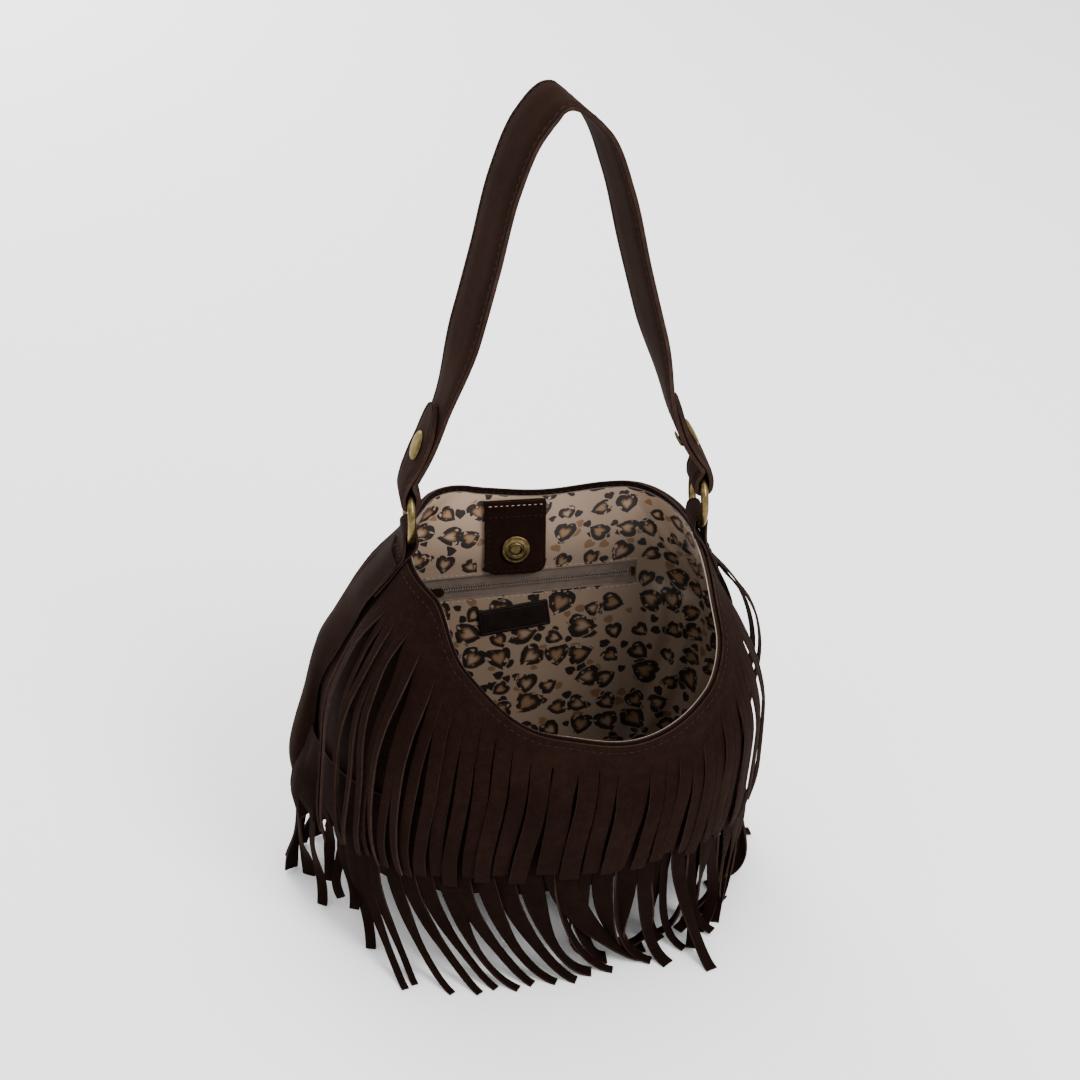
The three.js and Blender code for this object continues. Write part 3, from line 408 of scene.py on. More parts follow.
def hermite(t, start, leave, end, arrive):
    return ((2 * t**3 - 3 * t**2 + 1) * start + (t**3 - 2 * t**2 + t) * leave
            + (3 * t**2 - 2 * t**3) * end + (t**3 - t**2) * arrive)


def curveThrough(pairs):
    places, values = (np.array(column, float) for column in zip(*pairs))
    secants = np.diff(values) / np.diff(places)
    slopes = np.concatenate([secants[:1], np.zeros(len(places) - 2), secants[-1:]])
    for i in range(1, len(places) - 1):
        before, after = secants[i - 1], secants[i]
        slopes[i] = 0 if before * after <= 0 else 2 * before * after / (before + after)

    def value(place):
        place = np.clip(np.asarray(place, float), places[0], places[-1])
        i = np.clip(np.searchsorted(places, place, side="right") - 1, 0, len(places) - 2)
        span = places[i + 1] - places[i]
        return hermite((place - places[i]) / span, values[i], span * slopes[i], values[i + 1], span * slopes[i + 1])

    return value


# Points of a smooth curve through keys; further columns, such as a width, are carried along
def smoothThrough(keys, steps):
    keys = np.asarray(keys, float)
    padded = np.concatenate([2 * keys[:1] - keys[1:2], keys, 2 * keys[-1:] - keys[-2:-1]])
    gaps = np.maximum(np.linalg.norm(np.diff(padded[:, :3], axis=0), axis=1), 1e-4) ** 0.5
    made = []
    for i in range(len(keys) - 1):
        p0, p1, p2, p3 = padded[i:i + 4]
        d0, d1, d2 = gaps[i:i + 3]
        m1 = ((p1 - p0) / d0 - (p2 - p0) / (d0 + d1) + (p2 - p1) / d1) * d1
        m2 = ((p2 - p1) / d1 - (p3 - p1) / (d1 + d2) + (p3 - p2) / d2) * d1
        t = np.linspace(0, 1, steps, endpoint=False)[:, None]
        made.append(p1 + m1 * t + (3 * (p2 - p1) - 2 * m1 - m2) * t**2 + (2 * (p1 - p2) + m1 + m2) * t**3)
    return np.concatenate([*made, keys[-1:]])


# A fixed number from -1 to 1 for each index
def uneven(index, salt):
    wave = np.sin(np.asarray(index, float) * 12.9898 + salt * 78.233) * 43758.5453
    return 2 * (wave - np.floor(wave)) - 1


def lengthsAlong(line):
    return np.concatenate([[0], np.cumsum(np.linalg.norm(np.diff(line, axis=0), axis=1))])


def valuesAt(places, steps, values):
    return np.stack([np.interp(places, steps, values[:, k]) for k in range(3)], -1)


# Body shape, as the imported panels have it

body = {
    "rimHeight": 238, "frontDip": 78, "backDip": 3, "backShoulder": 5, "mouthWidth": 168,
    "leftBelly": 140, "rightBelly": 122, "frontBelly": 99, "backBelly": 62,
    "suede": 1.4, "seamGap": 0.4, "seamShift": 6, "seamInset": 0.78, "cornerShare": 0.27,
}
rimHeight = body["rimHeight"]
mouthHalf = body["mouthWidth"] / 2


def reach(scale, shares, last=None):
    pairs = [(place, share * scale) for place, share in shares]
    return curveThrough(pairs + ([(1, last)] if last else []))


leftReach = reach(body["leftBelly"], [(0, 0.7), (0.05, 0.81), (0.13, 0.89), (0.25, 0.955), (0.38, 1), (0.59, 0.975),
                                      (0.69, 0.94), (0.76, 0.885), (0.86, 0.785), (0.93, 0.69)], mouthHalf)
rightReach = reach(body["rightBelly"], [(0, 0.5), (0.05, 0.65), (0.13, 0.81), (0.23, 0.92), (0.38, 0.99), (0.55, 1),
                                        (0.66, 0.97), (0.79, 0.885), (0.88, 0.79)], mouthHalf)
frontReach = reach(body["frontBelly"], [(0, 0.27), (0.05, 0.48), (0.13, 0.68), (0.23, 0.84), (0.38, 0.955), (0.55, 1),
                                        (0.69, 0.98), (0.84, 0.85), (0.9, 0.77), (1, 0.65)])
backReach = reach(body["backBelly"], [(0, 0.45), (0.05, 0.62), (0.13, 0.74), (0.25, 0.82), (0.45, 0.86), (0.75, 0.92),
                                      (1, 1)])
flatLeft = reach(-body["leftBelly"], [(0, 0.3), (0.25, 0.5), (0.55, 0.63), (0.8, 0.62)], -0.5 * mouthHalf)
flatRight = reach(body["rightBelly"], [(0, 0.2), (0.25, 0.42), (0.55, 0.55), (0.8, 0.56)], 0.6 * mouthHalf)
squareness = curveThrough([(0, 1.7), (0.12, 1.9), (0.3, 2.3), (1, 2.3)])
frontEdge = curveThrough([(0, rimHeight), *[(place, rimHeight - share * body["frontDip"]) for place, share in (
    (0.2, 0.08), (0.35, 0.47), (0.48, 0.86), (0.59, 1), (0.74, 0.8), (0.82, 0.57), (0.9, 0.26))], (1, rimHeight)])
backEdge = curveThrough([(0, rimHeight), (0.07, rimHeight), (0.17, rimHeight + body["backShoulder"]),
                         (0.33, rimHeight), (0.5, rimHeight - body["backDip"]), (0.7, rimHeight), (1, rimHeight)])
rimEdges = {-1: frontEdge, 1: backEdge}


def frontSection(u, share):
    left, right = -leftReach(share), rightReach(share)
    angle = np.pi * (1 - u)
    power = 2 / squareness(share)
    cosine = np.cos(angle)
    x = (left + right) / 2 + (right - left) / 2 * np.sign(cosine) * np.abs(cosine) ** power
    y = -frontReach(share) * np.maximum(np.sin(angle), 0) ** power
    return x, y - body["seamGap"] / 2


def backSection(u, share):
    corner = body["cornerShare"]
    left, right, depth = -leftReach(share), rightReach(share), backReach(share)
    first, last = flatLeft(share), flatRight(share)
    angle = np.clip(np.minimum(u, 1 - u) / corner, 0, 1) * np.pi / 2
    along = np.clip((u - corner) / (1 - 2 * corner), 0, 1)
    x = first + (last - first) * along
    x = np.where(u < corner, first - (first - left) * np.cos(angle), x)
    x = np.where(u > 1 - corner, last + (right - last) * np.cos(angle), x)
    return x, depth * np.sin(angle) + body["seamGap"] / 2


def wallBase(side, u, level):
    height = np.maximum(level, 0) * rimEdges[side](u)
    x, y = (frontSection if side < 0 else backSection)(u, height / rimHeight)
    inward = np.clip(-level, 0, 1)
    seamY = body["seamShift"] + side * body["seamGap"] / 2
    x = x * (1 - inward * (1 - body["seamInset"]))
    return np.stack([x, y + (seamY - y) * inward, height], -1)


def wallNormal(side, u, level):
    step = 0.012
    u = np.clip(u, step, 1 - step)
    along = wallBase(side, u + step, level) - wallBase(side, u - step, level)
    lower = np.maximum(level - step, -1)
    down = wallBase(side, u, lower) - wallBase(side, u, np.minimum(level + step, 1))
    normal = unit(np.cross(down, along) * -side)
    return np.where((np.asarray(level) < -0.001)[..., None], np.array([0, 0, -1.0]), normal)


def wallAt(side, u, level, lift=0.0):
    u, level = np.broadcast_arrays(np.asarray(u, float), np.asarray(level, float))
    normal = wallNormal(side, u, level)
    atSeam = np.minimum(u, 1 - u) < 0.004
    normal = np.where(atSeam[..., None], unit(normal * np.array([1, 0, 1.0])), normal)
    return wallBase(side, u, level) + normal * np.asarray(lift, float)[..., None]


def wallAtHeight(side, u, height, lift=0.0):
    u, height = np.broadcast_arrays(np.asarray(u, float), np.asarray(height, float))
    return wallAt(side, u, height / rimEdges[side](u), lift)


# Suede body

panel = {"rows": 90, "baseRows": 12, "columns": 140, "crease": 0.9}


def softCrease(side, u, level):
    away = smoothStep((1 - level) / 0.2) * smoothStep(level / 0.15 + 0.2)
    ends = smoothStep(np.minimum(u, 1 - u) / 0.06)
    folds = (np.sin(u * 41 + 3 * np.sin(level * 5)) + 0.7 * np.sin(u * 23 - level * 9 + 1.3)
             + 0.6 * np.sin(level * 17 + u * 11))
    return panel["crease"] * (folds / 2.3 - 1) * away * ends * (1 if side < 0 else 0.7)


def makePanel(side, name, replaces):
    sides = np.linspace(1, 0, panel["rows"]) ** 1.12
    level = np.concatenate([sides, np.linspace(-0.12, -1, panel["baseRows"])])[:, None]
    u, level = np.broadcast_arrays(np.linspace(0, 1, panel["columns"] + 1)[None, :], level)
    outer = wallAt(side, u, level, softCrease(side, u, level))
    cloth = wallSheet(side, outer, wallAt(side, u, level, -body["suede"] + 0 * u))[:3]
    addPiece(name, "bag", "suede", ["under", "edge", "under"], *cloth, replaces=replaces)


makePanel(-1, "frontPanelSuede", ["front_panel"])
makePanel(1, "backPanelSuede", ["back_panel"])
print("suede panels made")

# Lining, with its flat cloth laid out for the print

lining = {
    "rows": 90, "baseRows": 12, "columns": 150, "thick": 0.6, "slack": 3.4, "hemGap": 0.35, "frontHem": 0.8,
    "backHem": 3.5, "fold": 1.1, "zipLevel": 0.755, "apart": 70.0,
}


def liningLift(side, u, level):
    gap = body["suede"] + lining["hemGap"] + (lining["slack"] - lining["hemGap"]) * smoothStep((1 - level) / 0.16)
    loose = smoothStep((1 - level) / 0.25) * smoothStep(level / 0.1 + 0.3)
    corner = smoothStep((u - 0.70) / 0.1) if side > 0 else smoothStep((u - 0.8) / 0.12)
    folds = np.sin(u * 95 + 2.2 * np.sin(level * 7)) * 1.3 * corner
    soft = 0.7 * np.sin(u * 19 + level * 8) + 0.5 * np.sin(level * 21 - u * 7)
    calm = 1 if side < 0 else 0.15 + 0.85 * smoothStep((np.abs(u - 0.49) - 0.225) / 0.06)
    beside = smoothStep((0.075 - np.abs(level - lining["zipLevel"])) / 0.05) * (u < 0.9) if side > 0 else 0
    return -gap - lining["fold"] * loose * (1 - beside) * (calm * (soft + 1.4) + folds)


# Where each point of the cloth lies when it is spread out flat
def flatLayout(points):
    rows = np.linalg.norm(np.diff(points, axis=0), axis=-1).mean(1)
    down = np.concatenate([[0], np.cumsum(rows)])
    across = np.concatenate([np.zeros((len(points), 1)),
                             np.cumsum(np.linalg.norm(np.diff(points, axis=1), axis=-1), axis=1)], axis=1)
    across -= across[:, -1:] / 2
    return np.stack([across, -np.broadcast_to(down[:, None], across.shape)], -1)


def makeLining(side, name, hem, replaces):
    level = np.concatenate([np.linspace(1, 0, lining["rows"]), np.linspace(-0.1, -1, lining["baseRows"])])[:, None]
    u, level = np.broadcast_arrays(np.linspace(0, 1, lining["columns"] + 1)[None, :], level)
    level = np.where(level > 0.9, level - hem / rimEdges[side](u) * (level - 0.9) / 0.1, level)
    lift = liningLift(side, u, level)
    near, far = wallAt(side, u, level, lift), wallAt(side, u, level, lift - lining["thick"])
    layout = flatLayout(near) + np.array([0.0, lining["apart"] * side])
    layout = np.concatenate([layout.reshape(-1, 2)] * 2)
    points, faces, _, used = wallSheet(side, near, far)
    return addPiece(name, "bag", "lining", ["lining"], points, faces, flat=layout[used], replaces=replaces)


joints = {joint["name"]: joint for joint in frame["joints"]}
zipPlace = {
    "length": 152, "opening": 15, "pinFromMiddle": -65.5, "pinLift": 3.5, "tapeLevel": -1.5, "coilPitch": 1.5,
    "coilWidth": 2.2, "coilThick": 1.5, "coilGap": 0.3, "coilShort": 9, "coilThread": 0.34, "tapeFrom": 0.15,
    "tapeTo": 12.15, "cutDepth": 6,
}


def zipFrame():
    right = np.array(joints["zip_slide"]["axis"], float)
    up = -np.array(joints["zip_pull_flip"]["axis"], float)
    inward = np.cross(right, up)
    pin = np.array(joints["zip_pull_flip"]["pos_m"], float) / millimetre
    return pin - right * zipPlace["pinFromMiddle"] - inward * zipPlace["pinLift"], right, up, inward


# Points given in a frame: its middle, and its ways right, up and into the bag
def inFrame(place, x, y, z):
    middle, right, up, inward = place
    x, y, z = np.broadcast_arrays(np.asarray(x, float), y, z)
    return middle + x[..., None] * right + y[..., None] * up + z[..., None] * inward


def onZip(x, y, z):
    return inFrame(zipFrame(), x, y, z)


def cutZipOpening(piece):
    x, y, depth = zipPlace["length"] / 2, zipPlace["opening"] / 2, zipPlace["cutDepth"]
    corners = [onZip(*corner) * millimetre for z in (-depth, depth) for corner in (
        (-x, -y, z), (x, -y, z), (x, y, z), (-x, y, z))]
    mesh = bpy.data.meshes.new("opening")
    mesh.from_pydata([tuple(corner) for corner in corners], [], [
        (0, 3, 2, 1), (4, 5, 6, 7), (0, 1, 5, 4), (1, 2, 6, 5), (2, 3, 7, 6), (3, 0, 4, 7)])
    cutter = bpy.data.objects.new("opening", mesh)
    bpy.context.scene.collection.objects.link(cutter)
    cut = piece.modifiers.new("opening", "BOOLEAN")
    cut.operation, cut.object, cut.solver = "DIFFERENCE", cutter, "EXACT"
    bpy.context.view_layer.update()
    evaluated = piece.evaluated_get(bpy.context.evaluated_depsgraph_get())
    fresh = bpy.data.meshes.new_from_object(evaluated)
    piece.modifiers.clear()
    piece.data = fresh
    bpy.data.objects.remove(cutter)


makeLining(-1, "frontLiningCloth", lining["frontHem"], ["front_lining"])
cutZipOpening(makeLining(1, "backLiningCloth", lining["backHem"], ["back_lining"]))
print("lining made")


# Fringe

fringe = {"thick": 1.2, "cup": 0.25, "cells": 3, "rows": 26}
fringeThick = fringe["thick"]


# bandPoints and bandNormals: rows x columns x 3. centres and across: strips x rows x 3. openFrom: row of each slit
def fringePiece(name, side, bandPoints, bandNormals, centres, across, widths, openFrom, replaces, faceFinish="suede"):
    count, rows = centres.shape[:2]
    cells = fringe["cells"]
    offsets = np.linspace(-0.5, 0.5, cells + 1)
    along = unit(np.gradient(centres, axis=1))
    across = unit(across - along * (across * along).sum(-1, keepdims=True))
    normals = np.cross(along, across) * -side
    points = (centres[:, :, None] + across[:, :, None] * (widths[:, :, None] * offsets)[..., None]
              - normals[:, :, None] * (fringe["cup"] * 4 * offsets**2)[:, None])
    points = np.concatenate([bandPoints, points.transpose(1, 0, 2, 3).reshape(rows, -1, 3)])
    normals = np.concatenate([bandNormals, np.repeat(normals.transpose(1, 0, 2), cells + 1, axis=1)])
    cloth = np.ones((len(points) - 1, points.shape[1] - 1), bool)
    for strip in range(count - 1):
        cloth[len(bandPoints) + max(openFrom[strip:strip + 2]):, strip * (cells + 1) + cells] = False
    half = normals * fringeThick / 2
    strips = wallSheet(side, points + half, points - half, cloth)[:3]
    addPiece(name, "bag", "suede", [faceFinish, "edge", "under"], *strips, replaces=replaces)


# Each strip's number, their width as a share of the wall, their middles, and the columns of points in the band
def fringeColumns(strips, start, end, filled):
    index = np.arange(strips)
    width = (end - start) / strips
    u = start + (index + 0.5) * width
    return index, width, u, (u[:, None] + np.linspace(-0.5, 0.5, fringe["cells"] + 1) * filled * width).ravel()


# The band above the strips, from its top down to the slits: its points and normals
def fringeBand(side, columns, top, slits, share, lift):
    heights = top + (np.repeat(slits, fringe["cells"] + 1) - top) * share
    normals = wallNormal(side, np.broadcast_to(columns, heights.shape), heights / rimEdges[side](columns))
    return wallAtHeight(side, columns[None, :], heights, lift), normals


def turned(across, centres, twist, side):
    outward = unit(np.cross(np.gradient(centres, axis=1), across) * -side)
    return across * np.cos(twist)[..., None] - outward * np.sin(twist)[..., None]


upperTier = {
    "strips": 37, "bandRows": 5, "band": 17, "belowRim": 1.5, "lift": 1.1, "shingle": 0.12, "tipUneven": 5,
    "slitUneven": 2.5, "standEarly": 4.5, "standLate": 3.5,
}
tipHeight = 74
upperSides = {
    -1: {"from": 0.05, "to": 0.955,
         "drift": curveThrough([(0.05, 0.06), (0.2, 0.02), (0.4, -0.012), (0.97, -0.028)]),
         "tips": curveThrough([(0, tipHeight + 8), (0.3, tipHeight - 4), (0.7, tipHeight), (1, tipHeight - 6)])},
    1: {"from": 0.045, "to": 0.955,
        "drift": curveThrough([(0.045, -0.03), (0.2, 0), (0.8, 0), (0.955, 0.03)]),
        "tips": curveThrough([(0, tipHeight + 26), (0.2, tipHeight), (1, tipHeight - 8)])},
}


# How far the fringe hangs clear of the wall, from its slits, 0, to its tips, 1
def standOff(hang):
    return upperTier["standEarly"] * smoothStep(2 * hang) + upperTier["standLate"] * hang**2


def makeUpperFringe(side, name, replaces):
    spec, edge, rows = upperSides[side], rimEdges[side], fringe["rows"]
    index, width, u, columns = fringeColumns(upperTier["strips"], spec["from"], spec["to"], 0.97)
    slit = edge(u) - upperTier["belowRim"] - upperTier["band"] + upperTier["slitUneven"] * uneven(index, 9)
    top = edge(columns) - upperTier["belowRim"]
    share = (np.arange(upperTier["bandRows"]) / upperTier["bandRows"])[:, None]
    base = upperTier["lift"] + fringeThick / 2
    band = fringeBand(side, columns, top, slit, share, base)

    hang = np.linspace(0, 1, rows)[None, :]
    u, i = u[:, None], index[:, None]
    uncut = 0 * u if side < 0 else np.where(u < 0.14, 0.66, np.where(u > 0.9, 0.2, 0))
    tangled = smoothStep((0.42 - u) / 0.24) if side < 0 else smoothStep((u - 0.82) / 0.1)
    free = smoothStep((hang - uncut) / (1 - uncut) * (3 + 3 * tangled))
    sway = (0.0012 + 0.008 * tangled) * np.sin(2 * np.pi * (0.75 * hang + 0.3 * uneven(i, 5))) * free
    path = u + spec["drift"](u) * hang + sway + 0.006 * uneven(i, 1) * free * hang**1.5
    tip = spec["tips"](u) + upperTier["tipUneven"] * uneven(i, 2)
    height = slit[:, None] + (tip - slit[:, None]) * hang
    stagger = (i % 2) * (1.2 + 2 * tangled) * free + (1.2 + 1.6 * tangled) * uneven(i, 6) * free * hang
    bow = 0 if side < 0 else 9 * smoothStep((u - 0.84) / 0.12) * np.sin(np.pi * np.minimum(hang * 1.15, 1))
    lift = base + standOff(hang) + bow + stagger
    centres, before, after = (wallAtHeight(side, path + way * width / 2, height, lift) for way in (0, -1, 1))
    pitch = np.linalg.norm(after - before, axis=-1)
    lean = upperTier["shingle"] if side > 0 else upperTier["shingle"] * (1 - tangled) - 0.62 * tangled
    twist = (lean + (0.10 + 0.28 * tangled) * uneven(i, 3)) * free * (0.4 + 0.6 * hang)
    across = turned(unit(after - before), centres, twist, side)
    narrowing = 1 - 0.09 * free - 0.07 * hang - tangled * (0.12 * free + 0.12 * hang)
    widths = np.minimum(pitch * (0.97 + 0.03 * free), pitch[:, :1] * 1.12) * np.where(free > 0, narrowing, 1)
    opened = np.round(uncut[:, 0] * (rows - 1)).astype(int)
    fringePiece(name, side, *band, centres, across, widths, opened, replaces)


lowerTier = {
    "strips": 33, "bandRows": 4, "from": 0.003, "to": 0.997, "lift": 1.3, "top": 118, "bandLow": 92, "bandFlare": 19,
    "stripShare": 0.44, "tangleShare": 0.66, "spread": 17, "swirl": 46, "floorGap": 0.95, "lyingBelow": 10,
    "hangingStrips": 6, "bend": 2.5,
}
# Where each front strip's tip lies, from the left seam to the right one
frontLowerTips = [
    (-147, 0, 1), (-141, -29, 1), (-137, -42, 31), (-131, -55, 28), (-124, -65, 27), (-115, -72, 1), (-98, -109, 1),
    (-92, -106, 1), (-71, -116, 1), (-55, -118, 1), (-45, -115, 1), (-32, -117, 1), (-23, -114, 1), (-9, -114, 1),
    (3, -114, 1), (13, -108, 1), (44, -99, 3), (24, -97, 1), (38, -88, 4), (48, -91, 1), (60, -107, 1), (58, -90, 5),
    (85, -115, 1), (76, -97, 3), (70, -84, 6), (84, -80, 1), (88, -68, 4), (92, -58, 1), (100, -60, 3), (98, -40, 1),
    (112, -34, 4), (110, -22, 1), (122, -12, 2),
]
lowerBandLow = curveThrough([(0, 62), (0.1, 66), (0.2, lowerTier["bandLow"]), (1, lowerTier["bandLow"])])


def backLowerTips(u, index):
    outward = unit(wallNormal(1, u, 0.3) * flatPart)
    sideways = np.stack([-outward[:, 1], outward[:, 0], 0 * u], -1)
    swirl = lowerTier["swirl"] * curveThrough([(0, 0), (0.5, 0.3), (1, 0)])(u)
    far = lowerTier["spread"] * (1 + 0.2 * uneven(index, 4)) + 6 * smoothStep((0.14 - u) / 0.14)
    tips = wallAtHeight(1, u, 0.62 * lowerTier["top"], 0) + outward * far[:, None] + sideways * swirl[:, None]
    tips[:, 2] = 1
    return tips


def makeLowerFringe(side, name, replaces):
    index, width, u, columns = fringeColumns(lowerTier["strips"], lowerTier["from"], lowerTier["to"], 0.96)
    low = lowerBandLow(u) + 2 * uneven(index, 8)
    share = (np.arange(lowerTier["bandRows"]) / lowerTier["bandRows"])[:, None]
    nearest = lowerTier["lift"] + fringeThick / 2
    base = nearest + lowerTier["bandFlare"] * smoothStep((0.1 - u) / 0.1)
    bandLift = np.maximum(np.interp(columns, u, base) * (0.2 + 0.8 * smoothStep(share * 1.15)), nearest)
    band = fringeBand(side, columns, lowerTier["top"], low, share, bandLift)

    start, behind, ahead = (wallAtHeight(side, u + way * width / 2, low, base) for way in (0, -1, 1))
    tips = np.array(frontLowerTips, float) if side < 0 else backLowerTips(u, index)
    drop = start[:, 2] - tips[:, 2]
    flatWay = (tips - start) * flatPart
    lying = (tips[:, 2:3] < lowerTier["lyingBelow"]) & (index[:, None] >= lowerTier["hangingStrips"])
    t = np.linspace(0, 1, fringe["rows"])[None, :, None]
    leave = np.stack([0 * drop, 0 * drop, -1.25 * drop], -1)
    arrive = np.where(lying, unit(flatWay) * 0.75 * drop[:, None] + np.array([0, 0, -4]), leave * 0.8 + flatWay * 0.6)
    bend = np.stack([uneven(index, 12), 0.5 * uneven(index, 13), 0 * drop], -1)[:, None] * lowerTier["bend"]
    centres = (hermite(t, start[:, None], leave[:, None], tips[:, None], arrive[:, None])
               + bend * np.sin(2 * np.pi * t) * smoothStep(t * 3))
    centres[..., 2] = np.maximum(centres[..., 2], lowerTier["floorGap"])
    firstAcross = unit(ahead - behind)
    lastAcross = np.where(lying, unit(np.cross(upward, flatWay)), firstAcross)
    lastAcross *= np.sign((lastAcross * firstAcross).sum(-1, keepdims=True)) + 1e-6
    lastAcross = unit(lastAcross + np.array([1.6, 0, 0]) * smoothStep((0.24 - u[:, None]) / 0.06))
    turn = smoothStep(t * 1.4 - 0.3)
    twist = 0.35 * uneven(index, 14)[:, None] * np.sin(np.pi * t[..., 0])
    across = turned(firstAcross[:, None] * (1 - turn) + lastAcross[:, None] * turn, centres, twist, side)
    pitch = np.linalg.norm(ahead - behind, axis=-1)[:, None]
    wide = smoothStep((u - 0.45) / 0.1) + smoothStep((0.2 - u) / 0.04)
    share = lowerTier["stripShare"] + (lowerTier["tangleShare"] - lowerTier["stripShare"]) * wide
    narrowing = 0.95 - (0.95 - share[:, None]) * smoothStep(t[..., 0] * 2.2 - 0.5)
    widths = pitch * narrowing * (1 + 0.1 * uneven(index, 15)[:, None] * t[..., 0])
    # the lower strips take the darker suede copy: painted shade
    fringePiece(name, side, *band, centres, across, widths, 0 * index, replaces, "low")


# The uncut left end of the back fringe, which turns over the side seam and ends in a bare cut edge
sideFlap = {
    "top": 231, "low": 82, "rows": 46, "columns": 24, "backFrom": 0.062, "over": 2.4, "overTab": 3.4, "flare": 6.5,
    "edge": curveThrough([(82, 0.0), (104, 0.0), (144, 0.002), (160, 0.013), (172, 0.024), (188, 0.027),
                          (200, 0.030), (212, 0.036), (231, 0.034)]),
}


def makeSideFlap():
    height = np.linspace(sideFlap["top"], sideFlap["low"], sideFlap["rows"])
    start = rimHeight - upperTier["belowRim"] - upperTier["band"]
    hang = np.clip((start - height) / (start - tipHeight - 20), 0, 1)
    clear = sideFlap["overTab"] * smoothStep((height - 192) / 20)
    out = upperTier["lift"] + fringeThick + standOff(hang) + 0.8 + sideFlap["flare"] * smoothStep((150 - height) / 66)
    keys = [wallAtHeight(side, u + 0 * height, height, lift) for side, u, lift in (
        (1, sideFlap["backFrom"], out + 0.2 * clear), (1, 0.03, out + 0.6 * clear), (1, 0, 0.7 * out + 0.7 + clear),
        (-1, sideFlap["edge"](height) + 0.004, sideFlap["over"] + clear))]
    outer = np.array([smoothThrough(row, sideFlap["columns"] // 3) for row in zip(*keys)])
    along, down = unit(np.gradient(outer, axis=1)), unit(np.gradient(outer, axis=0))
    cloth = clothSheet(outer, outer - unit(np.cross(down, along)) * fringeThick)[:3]
    addPiece("leftSideFlap", "bag", "suede", ["suede", "edge", "under"], *cloth)


makeSideFlap()
makeUpperFringe(-1, "frontUpperFringe", ["front_upper_fringe"])
makeUpperFringe(1, "backUpperFringe", ["back_upper_fringe"])

# Loose strips that cross each other under the right end of the front fringe
tangle = {
    "rows": 30, "height": 88, "width": 5.2,
    "from": (0.50, 0.54, 0.58, 0.62, 0.66, 0.70, 0.74, 0.78, 0.82, 0.86),
    "tips": ((26, -108, 1), (14, -96, 3), (50, -104, 2), (36, -92, 5), (72, -96, 2), (58, -84, 6), (92, -84, 3),
             (78, -66, 5), (106, -52, 2), (96, -74, 1)),
}


def makeTangle():
    tips, u = np.array(tangle["tips"], float), np.array(tangle["from"])
    index = np.arange(len(u))
    start = wallAtHeight(-1, u, tangle["height"], 0.9)
    flatWay = (tips - start) * flatPart
    t = np.linspace(0, 1, tangle["rows"])[None, :, None]
    leave = np.array([0, 0, -1.3]) * tangle["height"] + 0 * start
    arrive = unit(flatWay) * 70 + np.stack([26 * uneven(index, 21), 0 * u, 0 * u - 6], -1)
    centres = hermite(t, start[:, None], leave[:, None], tips[:, None], arrive[:, None])
    centres[..., 2] = np.maximum(centres[..., 2], 1.0 + 0.4 * (index % 3)[:, None])
    across = unit(np.cross(upward, flatWay))[:, None]
    across = np.where((across[..., :1] < 0), -across, across) + 0 * centres
    twist = 0.5 * uneven(index, 22)[:, None] * np.sin(np.pi * t[..., 0])
    widths = tangle["width"] * (1 + 0.15 * uneven(index, 23))[:, None] + 0 * t[..., 0]
    none = np.zeros((0, len(u) * (fringe["cells"] + 1), 3))
    across = turned(across, centres, twist, -1)
    # the crossed strips take the darker suede copy: painted shade
    fringePiece("crossedStrips", -1, none, none, centres, across, widths, 0 * index, [], "low")


makeTangle()
makeLowerFringe(-1, "frontLowerFringe", ["front_lower_fringe"])
makeLowerFringe(1, "backLowerFringe", ["back_lower_fringe"])
print("fringes made")


# Sewing

# A row of separate stitches along a line, their thread standing up along the normals
def stitchRow(name, line, normals, length=3.0, gap=1.5, radius=0.3, thread="darkThread", body="bag", slot="suede"):
    steps = lengthsAlong(line)
    count = max(int(steps[-1] // (length + gap)), 1)
    middles = (np.arange(count) + 0.5) * steps[-1] / count
    middle = valuesAt(middles, steps, line)
    up = unit(valuesAt(middles, steps, np.broadcast_to(normals, line.shape)))
    way = unit(valuesAt(middles + length / 2, steps, line) - valuesAt(middles - length / 2, steps, line))
    up = unit(up - way * (up * way).sum(-1, keepdims=True))
    side = np.cross(up, way)
    stations = np.array([-0.5, -0.32, 0, 0.32, 0.5]) * length
    swell = np.array([0.3, 0.85, 1, 0.85, 0.3]) * radius
    rise = np.array([-0.9, 0.25, 0.6, 0.25, -0.9]) * radius
    sides = 6
    angles = np.arange(sides) * 2 * np.pi / sides
    centres = middle[:, None] + way[:, None] * stations[:, None] + up[:, None] * rise[:, None]
    rings = (centres[:, :, None]
             + side[:, None, None] * (swell[:, None] * np.cos(angles))[..., None]
             + up[:, None, None] * (swell[:, None] * np.sin(angles))[..., None])
    faces = [face for k in range(count) for face in tubeFaces(len(stations), sides, k * sides * len(stations))]
    addPiece(name, body, slot, [thread], rings.reshape(-1, 3), faces, sharp=60)


def tube(line, radius, sides=8):
    way = unit(np.gradient(line, axis=0))
    side = unit(np.cross(way, np.array([0.03, 0.05, 1.0])))
    up = np.cross(side, way)
    angles = np.arange(sides)[:, None] * 2 * np.pi / sides
    rings = line[:, None] + radius * (side[:, None] * np.cos(angles) + up[:, None] * np.sin(angles))
    return rings.reshape(-1, 3), tubeFaces(len(line), sides)


rim = {"stitchDrop": 4, "hemDrop": 2.2, "hemRadius": 0.36, "samples": 260}


